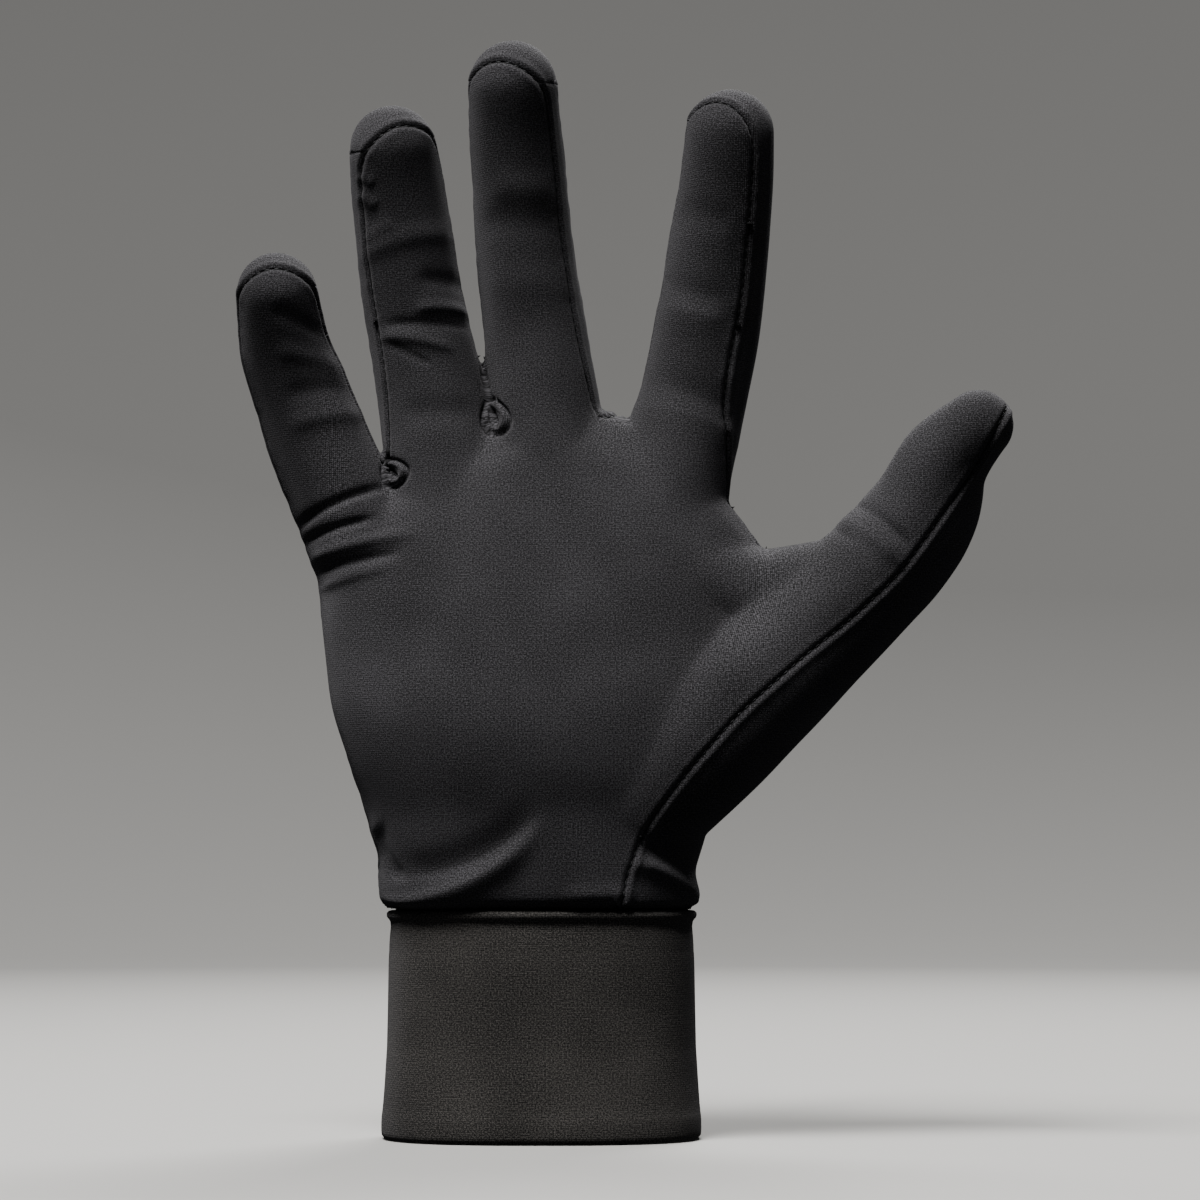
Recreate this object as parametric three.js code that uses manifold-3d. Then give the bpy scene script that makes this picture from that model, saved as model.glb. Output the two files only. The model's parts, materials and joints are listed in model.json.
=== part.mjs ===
// Glove liner: a right-hand knit liner in the form of the hand that wears it, standing on its cuff.
// Millimetres, +Z up, +X towards the thumb, and the palm faces -Y.
// The origin is the centre of the cuff's open bottom edge, where the hand goes in.
import * as THREE from "three";
import { mergeVertices } from "three/addons/utils/BufferGeometryUtils.js";
import Module from "manifold-3d";

const wasm = await Module();
wasm.setup();

// Driving sizes
const CUFF_WIDTH = 67;
const CUFF_DEPTH = 40;
const CUFF_HEIGHT = 49;
const CUFF_WALL = 2.4;
const HEM_FLARE = 1;
const PALM_LENGTH = 95;
const PALM_BREADTH = 92;
const PALM_DEPTH = 37;
const LITTLE_LENGTH = 65;
const RING_LENGTH = 83;
const MIDDLE_LENGTH = 93;
const INDEX_LENGTH = 85;
const THUMB_LENGTH = 118;
const FINGER_GIRTH = 22;
const THUMB_GIRTH = 26;
const PANEL_WALL = 1.0;
const SEAM_GAP = 0.3;

// How finely the form is faceted
const FACET = 6.5;
const FINGER_SIDES = 14;
const THUMB_SIDES = 16;
const PALM_SIDES = 36;
const TIP_RINGS = 3;
const SECTION_POWER = 2.5;
const CUFF_SIDES = 36;
// Corners closer than this are one.
const MERGE = 1e-3;
const TURN_STEP = 1e-3;

// How the seams are cut into the skin: a point this near a seam moves onto it, or, where it is on
// another seam already, the smaller distance; fields flatter than the slope are left alone.
const SNAP = 1.2;
const SNAP_AGAIN = 0.4;
const FIELD_STEP = 0.2;
const FIELD_SLOPE = 0.5;
// Passes that even out the seam lines, the whole skin before they are cut, and the cloth between them
// afterwards; each pass moves a point by this share of the way.
const SEAM_PASSES = 3;
const RELAX_PASSES = 3;
const LAST_RELAX_PASSES = 2;
const EVEN_SHARE = 0.5;
// Over this distance one limb's fields give way to the next one's.
const LIMB_BLEND = 1.2;

const table = (columns, rows) => rows.map((row) => (
  Object.fromEntries(columns.map((key, i) => [key, row[i]]))));

// Each digit starts at its knuckle, at shares of the palm's breadth and length.
// Its spine rows are shares of the digit's own length from there, its girth a share of its kind's.
// seam is where the palm panel ends round the digit, as a share of the radius before its middle,
// and roll turns that panel about the digit, towards the little finger where it is positive.
const SPINE = ["right", "up", "fore", "girth", "seam"];
const DIGITS = [
  {
    name: "little", length: LITTLE_LENGTH, girth: FINGER_GIRTH, sides: FINGER_SIDES,
    right: -0.418, up: 0.81, roll: 0,
    spine: table(SPINE, [
      [0.085, -0.28, 0.05, 1.1, -0.1],
      [0, 0, 0.03, 1.05, 0],
      [-0.148, 0.354, 0.05, 1, 0.17],
      [-0.205, 0.515, 0.08, 0.95, 0.17],
      [-0.262, 0.677, 0.14, 0.885, 0.17],
      [-0.285, 0.852, 0.235, 0.79, 0.2],
    ]),
  },
  {
    name: "ring", length: RING_LENGTH, girth: FINGER_GIRTH, sides: FINGER_SIDES,
    right: -0.223, up: 0.96, roll: -19,
    spine: table(SPINE, [
      [0.042, -0.265, 0.03, 1.2, 0],
      [0, 0, 0.02, 1.18, 0.1],
      [-0.054, 0.3, 0.03, 1.05, 0.33],
      [-0.094, 0.506, 0.06, 0.99, 0.33],
      [-0.127, 0.759, 0.13, 0.92, 0.33],
      [-0.14, 0.876, 0.185, 0.845, 0.36],
    ]),
  },
  {
    name: "middle", length: MIDDLE_LENGTH, girth: FINGER_GIRTH, sides: FINGER_SIDES,
    right: 0.016, up: 1, roll: 18,
    spine: table(SPINE, [
      [0.015, -0.258, 0.03, 1.22, 0],
      [0, 0, 0.02, 1.2, 0.1],
      [-0.028, 0.29, 0.03, 1.04, 0.33],
      [-0.057, 0.52, 0.06, 0.975, 0.33],
      [-0.075, 0.753, 0.125, 0.91, 0.33],
      [-0.083, 0.884, 0.185, 0.87, 0.36],
    ]),
  },
  {
    name: "index", length: INDEX_LENGTH, girth: FINGER_GIRTH, sides: FINGER_SIDES,
    right: 0.304, up: 0.97, roll: 28,
    spine: table(SPINE, [
      [-0.03, -0.27, 0.03, 1.22, -0.1],
      [0, 0, 0.02, 1.17, 0.1],
      [0.059, 0.224, 0.025, 1.07, 0.47],
      [0.107, 0.476, 0.055, 1.035, 0.47],
      [0.138, 0.729, 0.12, 0.94, 0.47],
      [0.15, 0.884, 0.175, 0.865, 0.47],
    ]),
  },
  {
    name: "thumb", length: THUMB_LENGTH, girth: THUMB_GIRTH, sides: THUMB_SIDES,
    right: 0.24, up: 0.2, roll: 0,
    spine: table(SPINE, [
      [-0.034, 0.017, 0.05, 1.19, -0.1],
      [0.042, 0.097, 0.06, 1.25, -0.1],
      [0.124, 0.174, 0.076, 1.25, -0.1],
      [0.23, 0.271, 0.085, 1.155, -0.1],
      [0.393, 0.423, 0.093, 1.02, -0.1],
      [0.463, 0.496, 0.106, 0.985, -0.1],
      [0.508, 0.562, 0.127, 0.915, -0.1],
      [0.543, 0.647, 0.161, 0.745, -0.1],
      [0.599, 0.708, 0.195, 0.58, -0.1],
    ]),
  },
];

// The web of cloth between index and thumb, as a short thick limb in shares of the palm and its depth.
const WEB = table(["right", "up", "fore", "girth"], [
  [0.35, 0.64, 0.11, 0.65],
  [0.52, 0.7, 0.16, 0.6],
  [0.67, 0.716, 0.24, 0.62],
]);

// Sections across the palm, from below the cuff seam up to the webs of the fingers.
// cuff is how far a row follows the cuff's sizes instead of the palm's; left, right and depth are
// shares of those; up and dome are shares of the palm's length, and dome lifts the row's middle.
const PALM = table(["up", "cuff", "left", "right", "fore", "depth", "dome"], [
  [-0.04, 1, 0.5, 0.5, 0, 1, 0],
  [0.003, 1, 0.507, 0.505, 0, 1.02, 0],
  [0.03, 1, 0.522, 0.508, 0.01, 1.05, 0],
  [0.075, 1, 0.525, 0.5, 0.02, 1.04, 0],
  [0.126, 1, 0.524, 0.513, 0.03, 1.03, 0],
  [0.22, 0.5, 0.475, 0.465, 0.065, 1.03, 0],
  [0.325, 0.2, 0.474, 0.483, 0.13, 1.03, 0],
  [0.45, 0, 0.489, 0.5, 0.16, 1, 0],
  [0.6, 0, 0.511, 0.533, 0.12, 0.9, 0.03],
  [0.705, 0, 0.524, 0.549, 0.08, 0.8, 0.15],
  [0.757, 0, 0.528, 0.549, 0.06, 0.66, 0.27],
  [0.78, 0, 0.526, 0.545, 0.055, 0.42, 0.33],
  [0.79, 0, 0.52, 0.535, 0.05, 0.2, 0.352],
  [0.793, 0, 0.51, 0.525, 0.05, 0, 0.36],
]);
const DOME_SKEW = 0.2;

// The seam that runs down the front of the thumb to the cuff: shares of the thumb's length
// from its root.
const THUMB_SEAM = table(["right", "up"], [
  [-0.05, -0.2],
  [-0.03, -0.085],
  [0.01, 0.0],
  [0.08, 0.09],
  [0.169, 0.19],
  [0.275, 0.283],
  [0.364, 0.354],
  [0.453, 0.435],
  [0.523, 0.53],
  [0.586, 0.62],
  [0.646, 0.73],
]);
// Where the back panel begins round the fingers' inner sides, as a share of the radius.
const BACK_SEAM = 0.5;

// Soft folds of the worn cloth, each a ridge along a line on the palm side:
// shares of the palm's breadth and length; height and width in shares of the palm's depth.
const FOLDS = table(["right", "up", "toRight", "toUp", "height", "width"], [
  [-0.36, 0.02, -0.05, 0.12, 0.05, 0.1],
  [0.22, 0.13, 0.36, 0.04, 0.03, 0.1],
  [-0.53, 0.84, -0.4, 0.89, -0.05, 0.07],
  [-0.52, 0.77, -0.38, 0.82, -0.04, 0.07],
]);

// Cuff profile from the inside of the hem round the outside and back: out is the distance past
// the outer face as a share of the wall (-1 is the inner face), flare a share of the hem's flare.
const CUFF_PROFILE = table(["up", "out", "flare"], [
  [0, -0.8, 0.5],
  [0, -0.2, 1],
  [0.015, 0, 1],
  [0.09, 0, 0.8],
  [0.4, 0, -0.2],
  [0.82, 0, -0.5],
  [0.98, 0, 0],
  [1, -0.15, 0],
  [1, -0.85, 0],
  [0.82, -1, -0.5],
  [0.4, -1, -0.2],
  [0.015, -1, 0.5],
]);

const lerp = THREE.MathUtils.lerp;
const palmPoint = (row) => new THREE.Vector3(
  row.right * PALM_BREADTH, -(row.fore ?? 0) * PALM_DEPTH, CUFF_HEIGHT + row.up * PALM_LENGTH);

// A smooth run of rows through the given ones, about FACET apart.
function smoothRows(rows, distance) {
  const keys = Object.keys(rows[0]);
  const out = [];
  for (let i = 0; i < rows.length - 1; i += 1) {
    const at = (k) => rows[THREE.MathUtils.clamp(i + k, 0, rows.length - 1)];
    const count = Math.max(1, Math.round(distance(rows[i], rows[i + 1]) / FACET));
    for (let step = 0; step < count; step += 1) {
      const t = step / count;
      const blend = (key) => {
        const [a, b, c, d] = [-1, 0, 1, 2].map((k) => at(k)[key]);
        const cubic = -a + 3 * b - 3 * c + d;
        return b + 0.5 * t * (c - a + t * (2 * a - 5 * b + 4 * c - d + t * cubic));
      };
      out.push(Object.fromEntries(keys.map((key) => [key, blend(key)])));
    }
  }
  out.push({ ...rows[rows.length - 1] });
  return out;
}

// The joints of a limb: centre, radius and seam place of each station along it.
function limb(digit) {
  const root = palmPoint({ right: digit.right, up: digit.up });
  const stations = digit.spine.map((row) => ({
    x: root.x + row.right * digit.length,
    y: root.y - row.fore * digit.length,
    z: root.z + row.up * digit.length,
    radius: row.girth * digit.girth / 2,
    seam: row.seam * row.girth * digit.girth / 2,
  }));
  return smoothRows(stations, (a, b) => Math.hypot(b.x - a.x, b.y - a.y, b.z - a.z));
}

const LIMBS = DIGITS.map((digit) => ({ ...digit, joints: limb(digit) }));
// The gaps between the fingers, each by the limb on its little finger's side.
const GAPS = LIMBS.slice(1, -1).map((_, i) => i);

// A closed skin from rings of points, each ring as long as the last, with its ends closed.
function loft(rings, startPoint, endPoint) {
  const points = rings.flat();
  const sides = rings[0].length;
  const index = [];
  for (let ring = 0; ring < rings.length - 1; ring += 1) {
    for (let j = 0; j < sides; j += 1) {
      const a = ring * sides + j;
      const b = ring * sides + (j + 1) % sides;
      index.push(a, b, b + sides, a, b + sides, a + sides);
    }
  }
  const last = (rings.length - 1) * sides;
  if (startPoint) {
    const centre = points.push(startPoint) - 1;
    for (let j = 0; j < sides; j += 1) index.push(centre, (j + 1) % sides, j);
  }
  if (endPoint) {
    const centre = points.push(endPoint) - 1;
    for (let j = 0; j < sides; j += 1) index.push(centre, last + j, last + (j + 1) % sides);
  }
  const geometry = new THREE.BufferGeometry().setFromPoints(points);
  geometry.setIndex(index);
  return geometry;
}

// A limb's skin: round sections square to its spine, and a round tip.
function limbSkin(joints, sides) {
  const centres = joints.map((joint) => new THREE.Vector3(joint.x, joint.y, joint.z));
  const frames = centres.map((centre, i) => {
    const before = centres[Math.max(i - 1, 0)];
    const after = centres[Math.min(i + 1, centres.length - 1)];
    const along = after.clone().sub(before).normalize();
    const across = new THREE.Vector3(0, 1, 0).cross(along).normalize();
    return { along, across, deep: along.clone().cross(across) };
  });
  const ring = (i, lift, radius) => {
    const { along, across, deep } = frames[i];
    return Array.from({ length: sides }, (_, j) => {
      const turn = (j + 0.5) / sides * Math.PI * 2;
      return centres[i].clone().addScaledVector(along, lift)
        .addScaledVector(across, Math.cos(turn) * radius)
        .addScaledVector(deep, Math.sin(turn) * radius);
    });
  };
  const rings = joints.map((joint, i) => ring(i, 0, joint.radius));
  const tip = joints.length - 1;
  const radius = joints[tip].radius;
  for (let k = 1; k <= TIP_RINGS; k += 1) {
    const turn = k / (TIP_RINGS + 1) * Math.PI / 2;
    rings.push(ring(tip, radius * Math.sin(turn), radius * Math.cos(turn)));
  }
  return loft(rings, centres[0], centres[tip].clone().addScaledVector(frames[tip].along, radius));
}

// A rounded section: its x and y at a turn, for half sizes of one.
function sectionPoint(turn) {
  const bulge = (v) => Math.sign(v) * Math.abs(v) ** (2 / SECTION_POWER);
  return [bulge(Math.cos(turn)), bulge(Math.sin(turn))];
}

// The palm's skin, lofted through its sections.
function palmSkin() {
  const rows = smoothRows(PALM, (a, b) => (b.up - a.up) * PALM_LENGTH);
  const rings = rows.map((row) => {
    const breadth = lerp(PALM_BREADTH, CUFF_WIDTH, row.cuff);
    const depth = lerp(PALM_DEPTH, CUFF_DEPTH, row.cuff);
    const half = (row.left + row.right) / 2 * breadth;
    const middle = (row.right - row.left) / 2 * breadth;
    return Array.from({ length: PALM_SIDES }, (_, j) => {
      const [x, y] = sectionPoint((j + 0.5) / PALM_SIDES * Math.PI * 2);
      const dome = (1 - x * x) * (1 + DOME_SKEW * x) * row.dome;
      return new THREE.Vector3(
        middle + x * half, -row.fore * depth + y * row.depth * depth / 2,
        CUFF_HEIGHT + (row.up + dome) * PALM_LENGTH);
    });
  });
  const start = new THREE.Vector3(0, 0, rings[0][0].z);
  return loft(rings, start, null);
}

// The web's skin, a limb of three stations.
function webSkin() {
  const joints = WEB.map((row) => {
    const { x, y, z } = palmPoint(row);
    return { x, y, z, radius: row.girth * PALM_DEPTH / 2 };
  });
  return limbSkin(joints, THUMB_SIDES);
}

// One closed solid from a skin, with the corners that coincide made one.
function solid(geometry) {
  const merged = mergeVertices(geometry, MERGE);
  const corner = merged.index.array;
  const triVerts = [];
  for (let i = 0; i < corner.length; i += 3) {
    const [a, b, c] = [corner[i], corner[i + 1], corner[i + 2]];
    if (a !== b && b !== c && c !== a) triVerts.push(a, b, c);
  }
  return new wasm.Manifold(new wasm.Mesh({
    numProp: 3, vertProperties: Float32Array.from(merged.attributes.position.array),
    triVerts: Uint32Array.from(triVerts),
  }));
}

// The outer skin of the whole hand as points with normals and triangles.
function handSkin() {
  const skins = [palmSkin(), webSkin(), ...LIMBS.map((item) => limbSkin(item.joints, item.sides))];
  const hand = skins.map(solid).reduce((sum, next) => sum.add(next));
  const { vertProperties, triVerts } = hand.getMesh();
  const geometry = new THREE.BufferGeometry();
  geometry.setAttribute("position", new THREE.BufferAttribute(Float32Array.from(vertProperties), 3));
  geometry.setIndex([...triVerts]);
  geometry.computeVertexNormals();
  const read = (attribute, i) => new THREE.Vector3().fromBufferAttribute(attribute, i);
  const points = Array.from({ length: geometry.attributes.position.count }, (_, i) => ({
    place: read(geometry.attributes.position, i),
    normal: read(geometry.attributes.normal, i),
    pinned: false,
  }));
  const triangles = [];
  for (let i = 0; i < triVerts.length; i += 3) {
    triangles.push([triVerts[i], triVerts[i + 1], triVerts[i + 2]]);
  }
  relax({ points, triangles }, new Set(), RELAX_PASSES);
  setNormals(points, triangles);
  return { points, triangles };
}

// Evens out a skin's triangles: each point but the fixed ones moves along the skin towards the middle
// of its neighbours. The normals stay as they were.
function relax({ points, triangles }, fixed, passes) {
  const next = points.map(() => new Set());
  for (const [a, b, c] of triangles) {
    next[a].add(b).add(c);
    next[b].add(c).add(a);
    next[c].add(a).add(b);
  }
  for (let pass = 0; pass < passes; pass += 1) {
    const steps = points.map(({ place, normal }, i) => {
      if (fixed.has(i)) return new THREE.Vector3();
      const step = new THREE.Vector3();
      for (const j of next[i]) step.addScaledVector(points[j].place, 1 / next[i].size);
      step.sub(place);
      return step.addScaledVector(normal, -step.dot(normal));
    });
    steps.forEach((step, i) => points[i].place.addScaledVector(step, EVEN_SHARE));
  }
}

// Gives each point the mean normal of the triangles around it, each by its angle there.
function setNormals(points, triangles) {
  for (const point of points) point.normal = new THREE.Vector3();
  for (const corners of triangles) {
    const [a, b, c] = corners.map((corner) => points[corner].place);
    const normal = new THREE.Triangle(a, b, c).getNormal(new THREE.Vector3());
    corners.forEach((corner, k) => {
      const left = points[corners[(k + 1) % 3]].place.clone().sub(points[corner].place);
      const right = points[corners[(k + 2) % 3]].place.clone().sub(points[corner].place);
      points[corner].normal.addScaledVector(normal, left.angleTo(right) || 0);
    });
  }
  for (const point of points) point.normal.normalize();
}

// Where a place lies beside one limb: how far in front of its spine, to its thumb side, off its skin.
function beside(item, place) {
  let best = null;
  for (let i = 0; i < item.joints.length - 1; i += 1) {
    const a = item.joints[i];
    const b = item.joints[i + 1];
    const along = new THREE.Vector3(b.x - a.x, b.y - a.y, b.z - a.z);
    const from = new THREE.Vector3(place.x - a.x, place.y - a.y, place.z - a.z);
    const share = THREE.MathUtils.clamp(from.dot(along) / along.lengthSq(), 0, 1);
    const out = from.addScaledVector(along, -share);
    const off = out.length() - lerp(a.radius, b.radius, share);
    if (!best || off < best.off) best = { off, out, along, seam: lerp(a.seam, b.seam, share), a, b, share };
  }
  const along = best.along.normalize();
  const roll = THREE.MathUtils.degToRad(item.roll);
  const face = new THREE.Vector3(-Math.sin(roll), -Math.cos(roll), 0);
  face.addScaledVector(along, -face.dot(along)).normalize();
  const side = face.clone().cross(along).negate();
  return {
    off: best.off, seam: best.seam, radius: lerp(best.a.radius, best.b.radius, best.share),
    front: best.out.dot(face), side: best.out.dot(side),
  };
}

// The same for the whole hand, each limb counting more the nearer it is.
function onHand(place) {
  const found = LIMBS.map((item) => beside(item, place));
  const nearest = Math.min(...found.map((item) => item.off));
  const weights = found.map((item) => Math.exp((nearest - item.off) / LIMB_BLEND));
  const total = weights.reduce((sum, weight) => sum + weight);
  const mean = (pick) => found.reduce((sum, item, i) => sum + weights[i] * pick(item), 0) / total;
  return {
    palm: mean((item) => item.front - item.seam),
    back: mean((item) => item.front + BACK_SEAM * item.radius),
    between: GAPS.map((i) => Math.min(found[i].side, -found[i + 1].side)),
  };
}

// Signed distance of a place from the thumb seam, seen from the front, positive on the palm's side.
function thumbSide(place) {
  const thumb = LIMBS[LIMBS.length - 1];
  const root = palmPoint({ right: thumb.right, up: thumb.up });
  const line = THUMB_SEAM.map((row) => new THREE.Vector2(
    root.x + row.right * THUMB_LENGTH, root.z + row.up * THUMB_LENGTH));
  const point = new THREE.Vector2(place.x, place.z);
  let best = null;
  for (let i = 0; i < line.length - 1; i += 1) {
    const along = line[i + 1].clone().sub(line[i]);
    const from = point.clone().sub(line[i]);
    const low = i === 0 ? -Infinity : 0;
    const high = i === line.length - 2 ? Infinity : 1;
    const share = THREE.MathUtils.clamp(from.dot(along) / along.lengthSq(), low, high);
    const gap = from.clone().addScaledVector(along, -share);
    const distance = gap.length();
    if (!best || distance < best.distance) best = { distance, sign: Math.sign(along.cross(from)) };
  }
  return best.sign * best.distance;
}

// The seam lines that part the skin, each the zero of a field, cut only where it applies.
const aboveCuff = (place) => place.z - CUFF_HEIGHT - SEAM_GAP / 2;
const amongFingers = (place) => aboveCuff(place) > PALM_LENGTH / 2;
const SEAMS = [
  { field: aboveCuff, applies: () => true },
  { field: thumbSide, applies: (place) => onHand(place).palm > -SNAP },
  { field: (place) => onHand(place).palm, applies: (place) => thumbSide(place) > -SNAP },
  {
    field: (place) => onHand(place).back,
    applies: (place) => Math.max(...onHand(place).between) > -SNAP,
  },
  ...GAPS.map((i) => ({
    field: (place) => onHand(place).between[i],
    applies: (place) => onHand(place).palm < FACET && onHand(place).back > -FACET && amongFingers(place),
  })),
];

// Names the panel that a place on the skin belongs to.
function panelAt(place) {
  const hand = onHand(place);
  if (aboveCuff(place) < 0) return "waste";
  if (hand.palm > 0 && thumbSide(place) > 0) return "palm_panel";
  const gap = hand.between.findIndex((value) => value > 0);
  if (hand.palm < 0 && hand.back > 0 && gap >= 0 && amongFingers(place)) {
    return `fourchette_${LIMBS[gap].name}_${LIMBS[gap + 1].name}`;
  }
  return "back_panel";
}

// Puts a line of points on the skin along a field's zero: near points move onto it, and the
// edges that still cross it are split.
function cutSkin(skin, seam) {
  const values = skin.points.map((point) => {
    const value = seam.field(point.place);
    if (Math.abs(value) > SNAP || !seam.applies(point.place)) return value;
    if (point.pinned) return Math.abs(value) < SNAP_AGAIN ? 0 : value;
    const slope = new THREE.Vector3(...["x", "y", "z"].map((axis) => {
      const moved = point.place.clone();
      moved[axis] += FIELD_STEP;
      return (seam.field(moved) - value) / FIELD_STEP;
    }));
    slope.addScaledVector(point.normal, -slope.dot(point.normal));
    if (slope.length() < FIELD_SLOPE) return value;
    point.place.addScaledVector(slope, -value / slope.lengthSq());
    point.pinned = true;
    return 0;
  });
  const made = new Map();
  const crossing = (a, b) => {
    if (values[a] * values[b] >= 0) return -1;
    const key = a < b ? `${a}_${b}` : `${b}_${a}`;
    if (!made.has(key)) {
      const share = values[a] / (values[a] - values[b]);
      const place = skin.points[a].place.clone().lerp(skin.points[b].place, share);
      const normal = skin.points[a].normal.clone().lerp(skin.points[b].normal, share).normalize();
      const wanted = seam.applies(place);
      made.set(key, wanted ? skin.points.push({ place, normal, pinned: true }) - 1 : -1);
    }
    return made.get(key);
  };
  skin.triangles = skin.triangles.flatMap((corners) => {
    const splits = corners.map((corner, i) => crossing(corner, corners[(i + 1) % 3]));
    const count = splits.filter((split) => split >= 0).length;
    if (count === 0) return [corners];
    const turn = count === 1 ? splits.findIndex((split) => split >= 0) : splits.indexOf(-1);
    const [a, b, c] = [0, 1, 2].map((k) => corners[(turn + k) % 3]);
    const [ab, bc, ca] = [0, 1, 2].map((k) => splits[(turn + k) % 3]);
    if (count === 1) return [[a, ab, c], [ab, b, c]];
    return [[a, b, bc], [a, bc, ca], [ca, bc, c]];
  });
}

// Height of the soft folds at a place on the palm side.
function foldHeight(place) {
  return FOLDS.reduce((sum, fold) => {
    const from = palmPoint({ right: fold.right, up: fold.up });
    const to = palmPoint({ right: fold.toRight, up: fold.toUp });
    const line = new THREE.Line3(from.setY(0), to.setY(0));
    const flat = new THREE.Vector3(place.x, 0, place.z);
    const near = line.closestPointToPoint(flat, true, new THREE.Vector3());
    const share = near.distanceTo(flat) / (fold.width * PALM_DEPTH);
    return sum + fold.height * PALM_DEPTH * Math.exp(-share * share);
  }, 0);
}

// A panel's solid: its share of the skin, drawn back by half the seam gap, with the cloth's wall.
function panelGeometry(skin, triangles) {
  const used = new Map();
  const points = [];
  const corners = triangles.map((triangle) => triangle.map((corner) => {
    if (!used.has(corner)) {
      const { place, normal } = skin.points[corner];
      const lift = normal.y < 0 ? foldHeight(place) * normal.y * normal.y : 0;
      used.set(corner, points.length);
      points.push({ place: place.clone().addScaledVector(normal, lift), normal, pull: new THREE.Vector3() });
    }
    return used.get(corner);
  }));
  const edges = new Set(corners.flatMap(([a, b, c]) => [`${a}_${b}`, `${b}_${c}`, `${c}_${a}`]));
  const rim = [...edges].map((edge) => edge.split("_").map(Number))
    .filter(([a, b]) => !edges.has(`${b}_${a}`));
  for (const [a, b] of rim) {
    const along = points[b].place.clone().sub(points[a].place).normalize();
    for (const point of [points[a], points[b]]) point.pull.add(point.normal.clone().cross(along));
  }
  for (const point of points) point.place.addScaledVector(point.pull.normalize(), SEAM_GAP / 2);
  const count = points.length;
  const inner = points.map((point) => point.place.clone().addScaledVector(point.normal, -PANEL_WALL));
  const index = [
    ...corners.flat(),
    ...corners.flatMap(([a, b, c]) => [c + count, b + count, a + count]),
    ...rim.flatMap(([a, b]) => [b, a, a + count, b, a + count, b + count]),
  ];
  const outer = points.map((point) => point.place);
  const geometry = new THREE.BufferGeometry().setFromPoints([...outer, ...inner]);
  geometry.setIndex(index);
  return geometry;
}

// The cuff: a doubled band of knit, folded at the hem, as one ring.
function cuffGeometry() {
  const rings = Array.from({ length: CUFF_SIDES }, (_, j) => {
    const turn = (j + 0.5) / CUFF_SIDES * Math.PI * 2;
    const [x, y] = sectionPoint(turn);
    const [nextX, nextY] = sectionPoint(turn + TURN_STEP);
    const edge = new THREE.Vector2(x * CUFF_WIDTH / 2, y * CUFF_DEPTH / 2);
    const outward = new THREE.Vector2((nextY - y) * CUFF_DEPTH, (x - nextX) * CUFF_WIDTH).normalize();
    return CUFF_PROFILE.map((row) => {
      const spot = edge.clone().addScaledVector(outward, row.out * CUFF_WALL + row.flare * HEM_FLARE);
      return new THREE.Vector3(spot.x, spot.y, row.up * CUFF_HEIGHT);
    });
  });
  return loft([...rings, rings[0]].reverse(), null, null);
}

const KNIT = { color: "#26252a", roughness: 0.9, metalness: 0 };
const CUFF_KNIT = { color: "#2e2d30", roughness: 0.92, metalness: 0 };

function namedMesh(name, geometry, finish) {
  geometry.computeVertexNormals();
  const mesh = new THREE.Mesh(geometry, new THREE.MeshStandardMaterial(finish));
  mesh.name = name;
  return mesh;
}

// Evens out the seam lines: a point with two neighbours on its seam moves towards their middle.
function smoothSeams(points, edges) {
  const next = new Map();
  for (const [a, b] of edges) next.set(a, [...(next.get(a) ?? []), b]);
  const inside = [...next].filter(([, ends]) => ends.length === 2);
  for (let pass = 0; pass < SEAM_PASSES; pass += 1) {
    const moved = inside.map(([corner, [a, b]]) => {
      const blend = (key) => {
        const middle = points[a][key].clone().lerp(points[b][key], 0.5);
        return middle.lerp(points[corner][key], EVEN_SHARE);
      };
      return [corner, blend("place"), blend("normal").normalize()];
    });
    for (const [corner, place, normal] of moved) Object.assign(points[corner], { place, normal });
  }
}

// Sorts the skin's triangles into panels. One that is cut off from the rest of its panel joins the
// panel beside it.
function sortPanels({ points, triangles }) {
  const names = triangles.map((triangle) => panelAt(triangle.reduce(
    (sum, corner) => sum.addScaledVector(points[corner].place, 1 / 3), new THREE.Vector3())));
  const edges = ([a, b, c]) => [[a, b], [b, c], [c, a]];
  const owner = new Map();
  triangles.forEach((corners, i) => edges(corners).forEach(([a, b]) => owner.set(`${a}_${b}`, i)));
  const neighbours = triangles.map((corners) => edges(corners).map(([a, b]) => owner.get(`${b}_${a}`)));
  const seen = new Set();
  const patches = new Map();
  triangles.forEach((_, first) => {
    if (seen.has(first)) return;
    seen.add(first);
    const patch = [first];
    for (const i of patch) {
      for (const next of neighbours[i]) {
        if (seen.has(next) || names[next] !== names[first]) continue;
        seen.add(next);
        patch.push(next);
      }
    }
    patches.set(names[first], [...(patches.get(names[first]) ?? []), patch]);
  });
  for (const group of patches.values()) {
    group.sort((a, b) => b.length - a.length);
    for (const patch of group.slice(1)) {
      const edge = patch.flatMap((i) => neighbours[i]).find((next) => !patch.includes(next));
      for (const i of patch) names[i] = names[edge];
    }
  }
  const seams = triangles.flatMap((corners, i) => (
    edges(corners).filter((_, k) => names[neighbours[i][k]] !== names[i])));
  smoothSeams(points, seams);
  relax({ points, triangles }, new Set(seams.flat()), LAST_RELAX_PASSES);
  return Map.groupBy(triangles, (_, i) => names[i]);
}

const glove = new THREE.Group();
const skin = handSkin();
SEAMS.forEach((seam) => cutSkin(skin, seam));
const panels = sortPanels(skin);
for (const [name, triangles] of panels) {
  if (name !== "waste") glove.add(namedMesh(name, panelGeometry(skin, triangles), KNIT));
}
glove.add(namedMesh("cuff", cuffGeometry(), CUFF_KNIT));

export default glove;
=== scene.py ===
"""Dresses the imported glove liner: a right-hand knit liner, upright on its cuff, on a pale floor.

The hand's skin is lofted through the same sections as the frame's solids, but finely. It is cut along its
seams into knit panels, whose edges turn in at each seam, and folded and puckered as worn cloth is.
"""
import json
import math

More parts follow.
